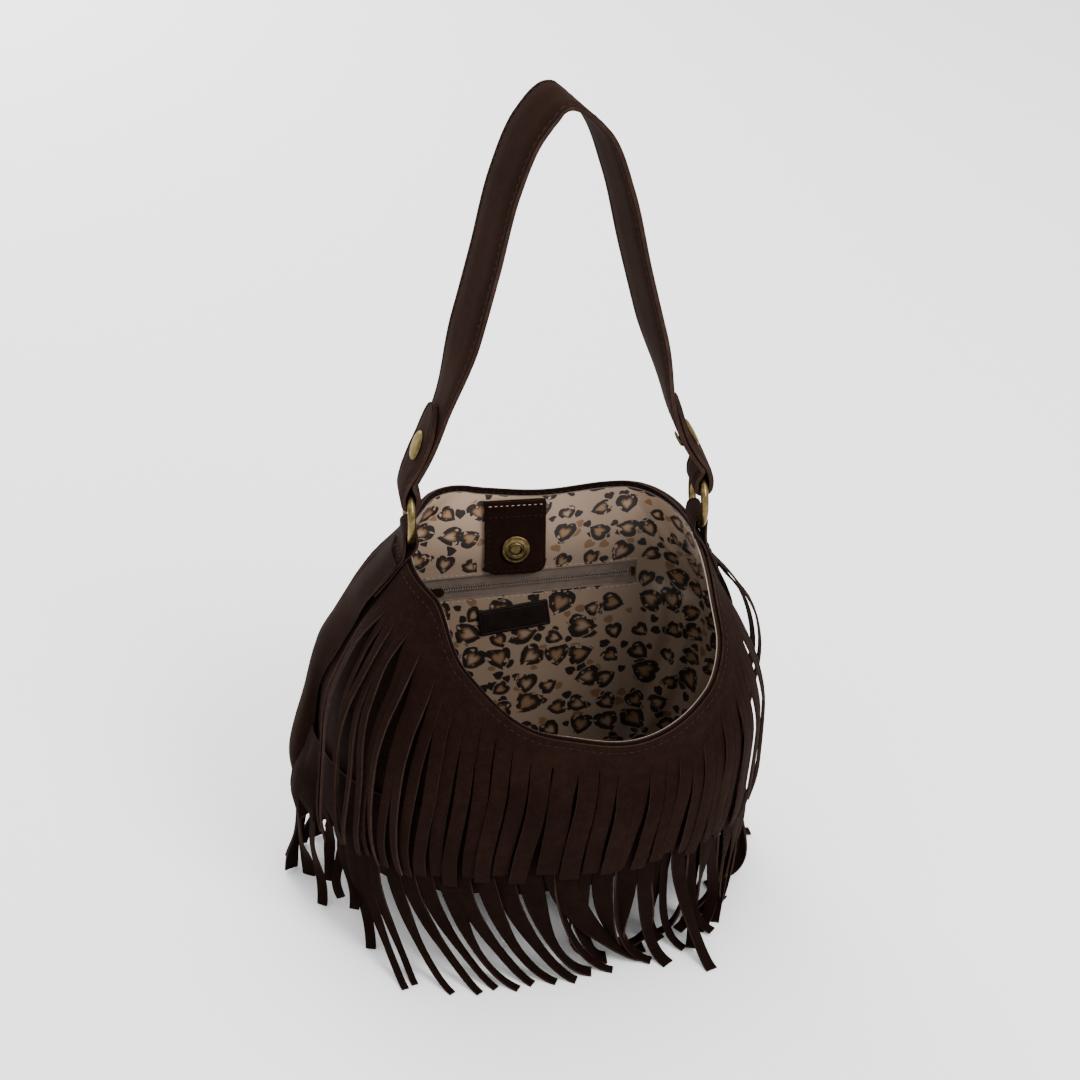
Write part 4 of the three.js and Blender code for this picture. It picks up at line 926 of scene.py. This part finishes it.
def makeRimSewing():
    lift = upperTier["lift"] + fringeThick
    for side, prefix, start in ((-1, "front", 0.055), (1, "back", 0.05)):
        u = np.linspace(start, 0.95, rim["samples"])
        edge = rimEdges[side](u)
        height = edge - upperTier["belowRim"] - rim["stitchDrop"]
        stitchRow(prefix + "RimStitches", wallAtHeight(side, u, height, lift), wallNormal(side, u, height / edge))
    inside = wallAtHeight(1, u, backEdge(u) - rim["hemDrop"], -body["suede"])
    stitchRow("backHemStitches", inside, -wallNormal(1, u, 0 * u + 0.99))
    middle = -body["suede"] - lining["hemGap"] - lining["thick"] / 2
    for side, prefix, start, below, cloth in ((-1, "front", 0.01, 0.2, "hem"), (1, "back", 0.02, 0.1, "zip")):
        u = np.linspace(start, 1 - start, rim["samples"])
        line = wallAt(side, u, 1 - (lining[prefix + "Hem"] - below) / rimEdges[side](u), middle)
        addPiece(prefix + "LiningFold", "bag", "lining", [cloth], *tube(line, rim["hemRadius"]), sharp=80)


makeRimSewing()
print("rims sewn")


# Zip, its pocket, the closing tabs, the snap and the patch

def nodePoints(name):
    mesh = frame["nodes"][name].data
    points = np.empty(len(mesh.vertices) * 3)
    mesh.vertices.foreach_get("co", points)
    return points.reshape(-1, 3) / millimetre


# A plate's middle, its long or level direction, its height direction, and the way into the bag
def plateFrame(name, side, tilted=False):
    points = nodePoints(name)
    middle = (points.max(0) + points.min(0)) / 2
    _, _, axes = np.linalg.svd(points - points.mean(0), full_matrices=False)
    inward = axes[2] * np.sign(axes[2][1]) * -side
    right = axes[0] if tilted else np.array([1.0, 0, 0])
    right = unit(right - inward * (right @ inward))
    right = right * np.sign(right[0]) * side
    up = np.cross(inward, right)
    middle = middle + inward * (((points - middle) @ inward).max() + ((points - middle) @ inward).min()) / 2
    return middle, right, up, inward


# A sewn plate of hide: corners rounded, edges softened, surface given by dentAt(x, y)
def softPlate(place, width, height, thick, cornerLow, cornerTop, dentAt, rows=44, columns=36):
    y = np.linspace(0.5, -0.5, rows)[:, None] * height
    s = np.linspace(-1, 1, columns)[None, :]
    inset = np.zeros_like(y)
    for corner, gap in ((cornerLow, y + height / 2), (cornerTop, height / 2 - y)):
        if corner > 0:
            near = np.clip(corner - gap, 0, corner)
            inset = inset + corner - np.sqrt(np.maximum(corner**2 - near**2, 0))
    half = np.maximum(width / 2 - inset, 0.6)
    x = s * half
    fromEdge = np.minimum(half - np.abs(x), height / 2 - np.abs(y))
    soft = thick * 0.28 * (1 - smoothStep(fromEdge / 0.9))
    y = y + 0 * x
    return clothSheet(inFrame(place, x, y, thick / 2 - soft + dentAt(x, y)), inFrame(place, x, y, soft - thick / 2))[:3]


closure = {
    "width": 37, "height": 48, "thick": 1.1, "corner": 7, "snapDrop": 31, "snapRadius": 9, "stitchInset": 2.4,
    "stitchTop": 22,
    "rows": {"Upper": (21.4, "tanThread"), "Lower": (14.2, "darkThread")},
}


# A turned form. profile: radius, level and, where the radius ripples, how deep, from one end to the other
def lathe(place, profile, segments=56, waves=24):
    middle, right, up, inward = place
    angles = np.arange(segments) * 2 * np.pi / segments
    rings = []
    for radius, level, *ripple in profile:
        radii = radius + sum(ripple) * np.cos(waves * angles)
        rings.append(middle + radii[:, None] * (np.cos(angles)[:, None] * right + np.sin(angles)[:, None] * up)
                     + level * inward)
    return np.concatenate(rings), tubeFaces(len(rings), segments)


socketProfile = [
    (8.6, 0), (9, 0.25), (9, 1.2), (8.85, 1.6), (8.5, 1.85, 0.12), (8.1, 1.95, 0.12), (7.6, 1.85, 0.12),
    (6.4, 1.95), (5.6, 2.15), (5.0, 2.2), (4.7, 2.05), (4.55, 2.5), (4.3, 2.62), (3.9, 2.62), (3.6, 2.5),
    (3.3, 2.1), (3.1, 1.3), (2.9, 0.7), (1.2, 0.66),
]
studProfile = [
    (8.6, 0), (9, 0.2), (9, 1.0), (8.8, 1.35), (8.3, 1.6, 0.12), (7.6, 1.65, 0.12), (4.6, 1.7), (2.9, 1.72),
    (2.62, 1.8), (2.6, 2.4), (2.6, 3.5), (2.4, 3.95), (1.9, 4.12), (0.8, 4.16),
]


def makeClosingTab(prefix, side, profile, snapNode):
    halfWidth, halfHeight = closure["width"] / 2, closure["height"] / 2
    stitchInset, snapY = closure["stitchInset"], halfHeight - closure["snapDrop"]

    def dent(x, y):
        fromSide = np.minimum(halfWidth - np.abs(x), y + halfHeight)
        sewn = -0.22 * np.exp(-((fromSide - stitchInset) / 0.8) ** 2)
        away = np.hypot(x, y - snapY)
        raised = 0.18 * smoothStep((closure["snapRadius"] + 3 - away) / 3)
        buckle = 0.16 * np.sin(x * 0.31 + y * 0.17) * smoothStep((away - 9) / 5)
        return sewn + raised * 0.5 + buckle

    place = plateFrame(prefix + "_tab_face", side)
    for part, layer, middle, shape in (
            ("TabFace", "_tab_face", place, dent),
            ("TabBacking", "_tab_backing", plateFrame(prefix + "_tab_backing", side), lambda x, y: 0 * x)):
        plate = softPlate(middle, closure["width"], closure["height"], closure["thick"], closure["corner"], 0, shape)
        addPiece(prefix + part, "bag", "suede", ["suede", "edge", "under"], *plate, replaces=[prefix + layer])
    inward, top = place[3], closure["thick"] / 2
    half, low, round_ = halfWidth - stitchInset, stitchInset - halfHeight, closure["corner"] - stitchInset
    turn = np.linspace(0, np.pi / 2, 10)
    x = half - round_ * (1 - np.cos(turn[::-1]))
    y = low + round_ * (1 - np.sin(turn))
    leg = np.linspace(closure["stitchTop"], low + round_, 12)
    line = inFrame(place, np.concatenate([np.full(12, -half), -x[::-1], x, np.full(12, half)]),
                   np.concatenate([leg, y, y[::-1], leg[::-1]]), top - 0.12)
    stitchRow(prefix + "TabStitches", line, inward, 2.4, 1.2, 0.26)
    for row, (height, thread) in closure["rows"].items():
        line = inFrame(place, np.linspace(-half - 1, half + 1, 12), height, top - 0.02)
        stitchRow(prefix + "TabRow" + row, line, inward, 2.2, 1.1, 0.3, thread)
    low = ((nodePoints(snapNode) - place[0]) @ inward).min()
    snap = lathe((inFrame(place, 0, snapY, low), *place[1:]), profile)
    addPiece(prefix + "Snap", "bag", "brass", ["brass"], *snap, sharp=50, replaces=[snapNode])


makeClosingTab("back", 1, socketProfile, "back_snap_socket")
makeClosingTab("front", -1, studProfile, "front_snap_stud")

patch = {"width": 44, "height": 18, "thick": 1.4, "border": 1.9, "corner": 1.2}


def makePatch():
    place = plateFrame("leather_patch", 1, tilted=True)

    def dent(x, y):
        fromEdge = np.minimum(patch["width"] / 2 - np.abs(x), patch["height"] / 2 - np.abs(y))
        line = -0.28 * np.exp(-((fromEdge - patch["border"]) / 0.38) ** 2)
        return line + 0.12 * np.exp(-((fromEdge - 0.7) / 0.5) ** 2) + 0.1 * np.sin(x * 0.16)

    plate = softPlate(place, patch["width"], patch["height"], patch["thick"], patch["corner"], patch["corner"],
                      dent, 66, 130)
    addPiece("leatherPatch", "bag", "patch", ["leather"], *plate[:2], replaces=["leather_patch"])


makePatch()


def makeZip():
    half, side, inward = zipPlace["length"] / 2, zipPlace["opening"] / 2, zipFrame()[3]
    coil, thread = zipPlace["coilWidth"] / 2, zipPlace["coilThread"]
    for name, way in (("Upper", 1), ("Lower", -1)):
        x, y = np.broadcast_arrays(np.linspace(-half - 3, half + 3, 260)[None, :],
                                   np.linspace(zipPlace["tapeFrom"], zipPlace["tapeTo"], 16)[:, None])
        z = zipPlace["tapeLevel"] + 0.55 + (0.07 * np.sin(x * 4.2) + 0.05 * np.cos(y * 5.2))
        top, low = onZip(x, way * y, z)[::-way], onZip(x, way * y, z * 0 + zipPlace["tapeLevel"])[::-way]
        addPiece("zipTape" + name, "bag", "zip_tape", ["zip"], *clothSheet(top, low)[:2],
                 replaces=["zip_tape_" + name.lower()])
        coilLength = zipPlace["length"] - zipPlace["coilShort"]
        turns = int(coilLength / zipPlace["coilPitch"])
        angle = np.linspace(0, 2 * np.pi * turns, turns * 10)
        across = zipPlace["coilGap"] / 2 + coil + (coil - 0.36) * np.cos(angle)
        through = -0.6 + zipPlace["coilThick"] / 2 + (zipPlace["coilThick"] / 2 - thread) * np.sin(angle)
        line = onZip((angle / angle[-1] - 0.5) * coilLength, way * across, through)
        addPiece("zipCoil" + name, "bag", "zip_tape", ["coil"], *tube(line, thread, 5), sharp=80,
                 replaces=["zip_coil_" + name.lower()])
        line = onZip(np.linspace(-half - 1, half + 1, 90), way * (side + 1.6), 0.5)
        stitchRow("zipStitches" + name, line, inward, 2.4, 1.2, 0.22, "tanThread", slot="lining")
    long, short = np.linspace(-half, half, 60), np.linspace(side, -side, 8)
    line = onZip(np.concatenate([long, np.full(8, half), np.linspace(half, -half, 60), np.full(8, -half)]),
                 np.concatenate([np.full(60, side), short, np.full(60, -side), np.linspace(-side, side, 8)]), 0.05)
    addPiece("zipWelt", "bag", "lining", ["zip"], *tube(np.concatenate([line, line[:1]]), 0.5), sharp=80)


pocket = {"size": (142, 78, 0.8), "corner": 8}


def makePocket():
    place = plateFrame("zip_pocket", 1)
    points, faces, _ = softPlate(place, *pocket["size"], pocket["corner"], pocket["corner"],
                                 lambda x, y: 0.05 * np.sin(x * 0.2) + 0 * y, 40, 60)
    layout = np.stack([(points - place[0]) @ place[1], (points - place[0]) @ place[2]], -1)
    addPiece("zipPocketBag", "bag", "lining", ["lining"], points, faces, flat=layout, replaces=["zip_pocket"])


makeZip()
makePocket()
print("zip, tabs, snap and patch made")


# Strap, rings, ring tabs and rivets

ringShape = {"radius": 16.5, "wire": 2.3, "clearance": 0.35, "lift": 24}
ringHeight = rimHeight + ringShape["lift"]
ringTabShape = {"width": 22, "thick": 1.6, "leg": 26, "seat": 0.3, "sewnHalf": 8}
strapShape = {
    "width": 39, "neck": 22, "thick": 3, "rise": 248, "flapLength": 46, "flapWidth": 34, "foldGap": 0.35,
    "twist": 14, "crownShift": -6, "stitchInset": 3.0,
    "leftLeg": [(0.85, 0.19), (0.635, 0.42), (0.48, 0.62), (0.353, 0.8), (0.19, 0.93)],
    "rightLeg": [(0.83, 0.19), (0.645, 0.42), (0.494, 0.62), (0.367, 0.8), (0.217, 0.93)],
}
rivetShape = {"cap": 17, "seat": 0.7, "back": 10, "height": 19, "capThick": 1.6, "shank": 6.6, "backLevel": 7.75}


def wireDrop(width):
    drop = math.sqrt(ringShape["radius"] ** 2 - (width / 2) ** 2)
    return drop - ringShape["wire"] * (ringShape["radius"] / drop - 1)


def archLine():
    neckTop = ringHeight + ringShape["radius"] + ringShape["wire"] + 5
    inset = (strapShape["thick"] + strapShape["foldGap"]) / 2

    def leg(way, shares):
        crown = strapShape["crownShift"]
        return [(way * (mouthHalf - inset), 0, neckTop)] + [
            (crown + (way * mouthHalf - crown) * share, 0, ringHeight + strapShape["rise"] * rise)
            for share, rise in shares]

    crown = (strapShape["crownShift"], 0, ringHeight + strapShape["rise"] - strapShape["thick"])
    keys = leg(-1, strapShape["leftLeg"]) + [crown] + leg(1, strapShape["rightLeg"])[::-1]
    return smoothThrough(keys, 160)


arch = archLine()
archSteps = lengthsAlong(arch)
archLength = archSteps[-1]
twistAt = curveThrough([(place, share * strapShape["twist"]) for place, share in (
    (0, 0), (0.09, 0), (0.2, 1), (0.8, 1), (0.91, 0), (1, 0))])
strapEnd = [(0, 0.81 * strapShape["flapWidth"]), (0.07, strapShape["width"] - 4), (0.16, strapShape["width"])]
strapWidthAt = curveThrough(strapEnd + [(1 - place, width) for place, width in strapEnd[::-1]])


def archAt(share):
    return valuesAt(np.asarray(share) * archLength, archSteps, arch)


def archFrame(share):
    share = np.asarray(share, float)
    along = unit(archAt(np.clip(share + 0.002, 0, 1)) - archAt(np.clip(share - 0.002, 0, 1)))
    twist = np.radians(twistAt(share))
    across = np.stack([np.sin(twist), -np.cos(twist), 0 * twist], -1)
    across = unit(across - along * (across * along).sum(-1, keepdims=True))
    return along, across, np.cross(along, across)


# A strip of sewn hide along a line: two layers with a seam between them at each cut edge
def hideBand(points, across, widths, thick, groove, layered=True):
    along = unit(np.gradient(points, axis=0))
    across = unit(across - along * (across * along).sum(-1, keepdims=True))
    through = np.cross(along, across)
    half = widths / 2
    inset = np.minimum(strapShape["stitchInset"], 0.35 * half)
    soft = np.minimum(0.4, 0.2 * half)
    places = [-half, -half + soft, -half + inset - 0.6, -half + inset, -half + inset + 0.6, -0.35 * half, 0 * half]
    sinks = [0.35, 0.02, 0.0, groove, 0.0, -0.04, -0.05]
    places = places + [-place for place in places[-2::-1]]
    sinks = sinks + sinks[-2::-1]
    seam = across * (half - (0.16 if layered else 0.0))[:, None]
    face, back = ([points + across * place[:, None] + way * through * (thick / 2 - sink)
                   for place, sink in zip(places[::-way], sinks[::-way])] for way in (-1, 1))
    rings = np.stack([*face, points + seam, *back, points - seam], 1)
    top = len(places)
    kinds = [0 if m < top - 1 or top < m < 2 * top else 1 for m in range(2 * top + 2)] * (len(points) - 1) + [1, 1]
    return rings.reshape(-1, 3), tubeFaces(len(points), 2 * top + 2), np.array(kinds)


def arcPoints(x, z, radius, start, end, count):
    angles = np.radians(np.linspace(start, end, count))
    return np.stack([x + radius * np.cos(angles), 0 * angles, z + radius * np.sin(angles)], -1)


def makeStrap():
    thick, gap = strapShape["thick"], strapShape["foldGap"]
    loopLow = ringHeight + wireDrop(strapShape["neck"])
    loopRadius = ringShape["wire"] + ringShape["clearance"] + thick / 2
    flapWidthAt = curveThrough([(0, 0.81), (0.3, 1), (0.55, 1), (0.7, 0.955), (0.82, 0.82), (0.91, 0.62), (0.97, 0.38),
                                (1, 0.12)])
    straight = (0.0, -1.0, 0.0)

    def flapKeys(way):
        part = np.linspace(0, 1, 26) ** 0.9
        share = part * strapShape["flapLength"] / archLength
        share = share if way < 0 else 1 - share
        _, across, inward = archFrame(share)
        curl = 0.5 * smoothStep((part - 0.75) / 0.25)
        places = archAt(share) - inward * (thick + gap + curl)[:, None]
        return np.concatenate([places, across, (flapWidthAt(part) * strapShape["flapWidth"])[:, None]], 1)

    def loopKeys(way):
        x, level = way * mouthHalf, ringHeight + ringShape["radius"] - 0.5
        turn = arcPoints(x, loopLow, loopRadius, -180 if way < 0 else 180, 0 if way < 0 else 360, 11)
        rows = [(x - loopRadius, 0, level, *straight, 0.68 * strapShape["flapWidth"])]
        rows += [(*place, *straight, strapShape["neck"]) for place in turn]
        rows.append((x + loopRadius, 0, level, *straight, 0.68 * strapShape["flapWidth"]))
        return np.array(rows)

    share = np.linspace(0, 1, 121)
    _, across, _ = archFrame(share)
    middle = np.concatenate([archAt(share), across, strapWidthAt(share)[:, None]], 1)
    keys = np.concatenate([flapKeys(-1)[::-1], loopKeys(-1), middle, loopKeys(1), flapKeys(1)])
    dense = smoothThrough(keys, 3)
    hide = hideBand(dense[:, :3], dense[:, 3:6], dense[:, 6], thick, 0.3)
    addPiece("shoulderStrap", "strap", "strap_suede", ["strap", "edge"], *hide, replaces=["strap"])

    share = np.linspace(0.035, 0.965, 400)
    _, across, inward = archFrame(share)
    for edgeName, way in (("Front", 1), ("Back", -1)):
        offset = way * (strapWidthAt(share) / 2 - strapShape["stitchInset"])
        for faceName, face in (("Inner", 1), ("Outer", -1)):
            kept = slice(None) if face > 0 else slice(38, -38)
            line = archAt(share) + across * offset[:, None] + inward * (face * (thick / 2 - 0.22))
            stitchRow("strapStitches" + edgeName + faceName, line[kept], (inward * face)[kept], 3.2, 1.6, 0.28,
                      body="strap", slot="strap_suede")


def makeRingTab(name, way):
    shape = ringTabShape
    u = 1.0 if way > 0 else 0.0
    x = way * mouthHalf
    loopRadius = ringShape["wire"] + ringShape["clearance"] + shape["thick"] / 2
    loopTop = ringHeight - wireDrop(shape["width"])
    heights = rimHeight - np.array([shape["leg"], 0.7 * shape["leg"], 0.4 * shape["leg"], 3])
    innerLift = 0.5 + shape["thick"] / 2
    level = ringHeight - ringShape["radius"]
    straighten = np.array([1, 0, 1.0])
    inner = wallAtHeight(-1, np.full(4, u), heights, innerLift) * straighten
    outer = (wallAtHeight(-1, np.full(4, u), heights, innerLift + shape["thick"] + shape["seat"]) * straighten)[::-1]
    turn = arcPoints(x, loopTop, loopRadius, 180 if way > 0 else 0, 0 if way > 0 else 180, 11)
    rising = [(x, 0, rimHeight + shape["thick"] / 2 + 0.6), (x - way * loopRadius, 0, level - 0.6)]
    keys = np.concatenate([inner, rising, turn, [(x + way * loopRadius, 0, level)], outer])
    dense = smoothThrough(keys, 6)
    share = np.linspace(0, 1, len(dense))
    widths = shape["width"] * (1 - 0.06 * np.sin(np.pi * share) ** 8) + 0.25 * np.sin(share * 37)
    across = np.broadcast_to(np.array([0, -way, 0.0]), dense.shape)
    hide = hideBand(dense, across, widths, shape["thick"], 0.14, layered=False)
    addPiece(name + "RingTabSuede", "bag", "suede", ["suede", "edge"], *hide, replaces=[name + "_ring_tab"])
    height = np.linspace(rimHeight - shape["leg"] + 3, rimHeight - 4, 30)
    lift = innerLift + shape["thick"] * 1.5 + shape["seat"] - 0.03
    wall = wallAtHeight(-1, np.full(30, u), height, lift) * straighten
    normal = wallNormal(-1, np.full(30, u), height / rimHeight) * straighten
    sewn = shape["sewnHalf"]
    for k, shift in enumerate((-sewn, sewn)):
        stitchRow(f"{name}RingTabSide{k + 1}", wall + np.array([0, shift, 0]), normal, 2.6, 1.3, 0.27)
    for k, row in enumerate((0, 29)):
        line = wall[row] + np.linspace(-sewn, sewn, 12)[:, None] * np.array([0, 1.0, 0])
        stitchRow(f"{name}RingTabRow{k + 1}", line, normal[row], 2.6, 1.3, 0.27)


def makeRing(name, way):
    around, wireSides = 96, 20
    angle = np.linspace(0, 2 * np.pi, around, endpoint=False)[:, None]
    turn = np.linspace(0, 2 * np.pi, wireSides, endpoint=False)[None, :]
    joint = 0.05 * np.exp(-((angle - np.pi / 2) / 0.05) ** 2)      # the soldered joint in the wire
    wire = ringShape["wire"] * (1 - joint)
    radius = ringShape["radius"] + wire * np.cos(turn)
    points = np.stack([way * mouthHalf + wire * np.sin(turn) + 0 * radius, radius * np.cos(angle),
                       ringHeight + radius * np.sin(angle)], -1).reshape(-1, 3)
    a = np.arange(around * wireSides).reshape(around, wireSides)
    b, c, d = np.roll(a, -1, 0), np.roll(a, (-1, -1), (0, 1)), np.roll(a, -1, 1)
    faces = np.stack([a, b, c, d], -1).reshape(-1, 4)
    addPiece(name + "RingWire", name + "_ring", "brass", ["brass"], points, faces, sharp=80, replaces=[name + "_ring"])


def makeRivet(name, way):
    share = rivetShape["height"] / archLength
    share = share if way < 0 else 1 - share
    _, _, inward = archFrame(share)
    right = np.array([0, -1.0, 0])
    place = archAt(share) - inward * (1.5 * strapShape["thick"] + strapShape["foldGap"] + rivetShape["seat"])
    right = unit(right - inward * (right @ inward))
    seat = (place, right, np.cross(inward, right), inward)
    radius, thick, shank = rivetShape["cap"] / 2, rivetShape["capThick"], rivetShape["shank"]
    cap = [(0.4, -thick), *[(share * radius, -rise * thick) for share, rise in (
        (0.45, 0.97), (0.75, 0.86), (0.88, 0.7), (0.96, 0.42))],
        (radius, -0.1), (0.99 * radius, 0.02), (2, 0.05), (2, shank), (0.4, shank)]
    low, radius = rivetShape["backLevel"], rivetShape["back"] / 2
    back = [(0.4, low), *[(share * radius, low + rise) for share, rise in (
        (0.98, 0), (1, 0.2), (0.97, 0.6), (0.8, 1.3), (0.55, 1.5), (0.42, 1.25), (0.2, 1.2))], (0.1, low + 1.2)]
    for part, profile in (("Cap", cap), ("Back", back)):
        addPiece(name + "Rivet" + part + "Brass", "strap", "brass", ["paleBrass"], *lathe(seat, profile), sharp=55,
                 replaces=[name + "_rivet_" + part.lower()])


makeStrap()
for sideName, sideWay in (("left", -1), ("right", 1)):
    makeRingTab(sideName, sideWay)
    makeRing(sideName, sideWay)
    makeRivet(sideName, sideWay)

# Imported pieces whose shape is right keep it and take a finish
for node in ("zip_stop_left", "zip_stop_right", "zip_slider", "zip_pull", "back_snap_washer", "front_snap_washer"):
    packed = frame["nodes"][node]
    packed.data.materials.clear()
    packed.data.materials.append(finish["brass"])
print("strap, rings and rivets made")
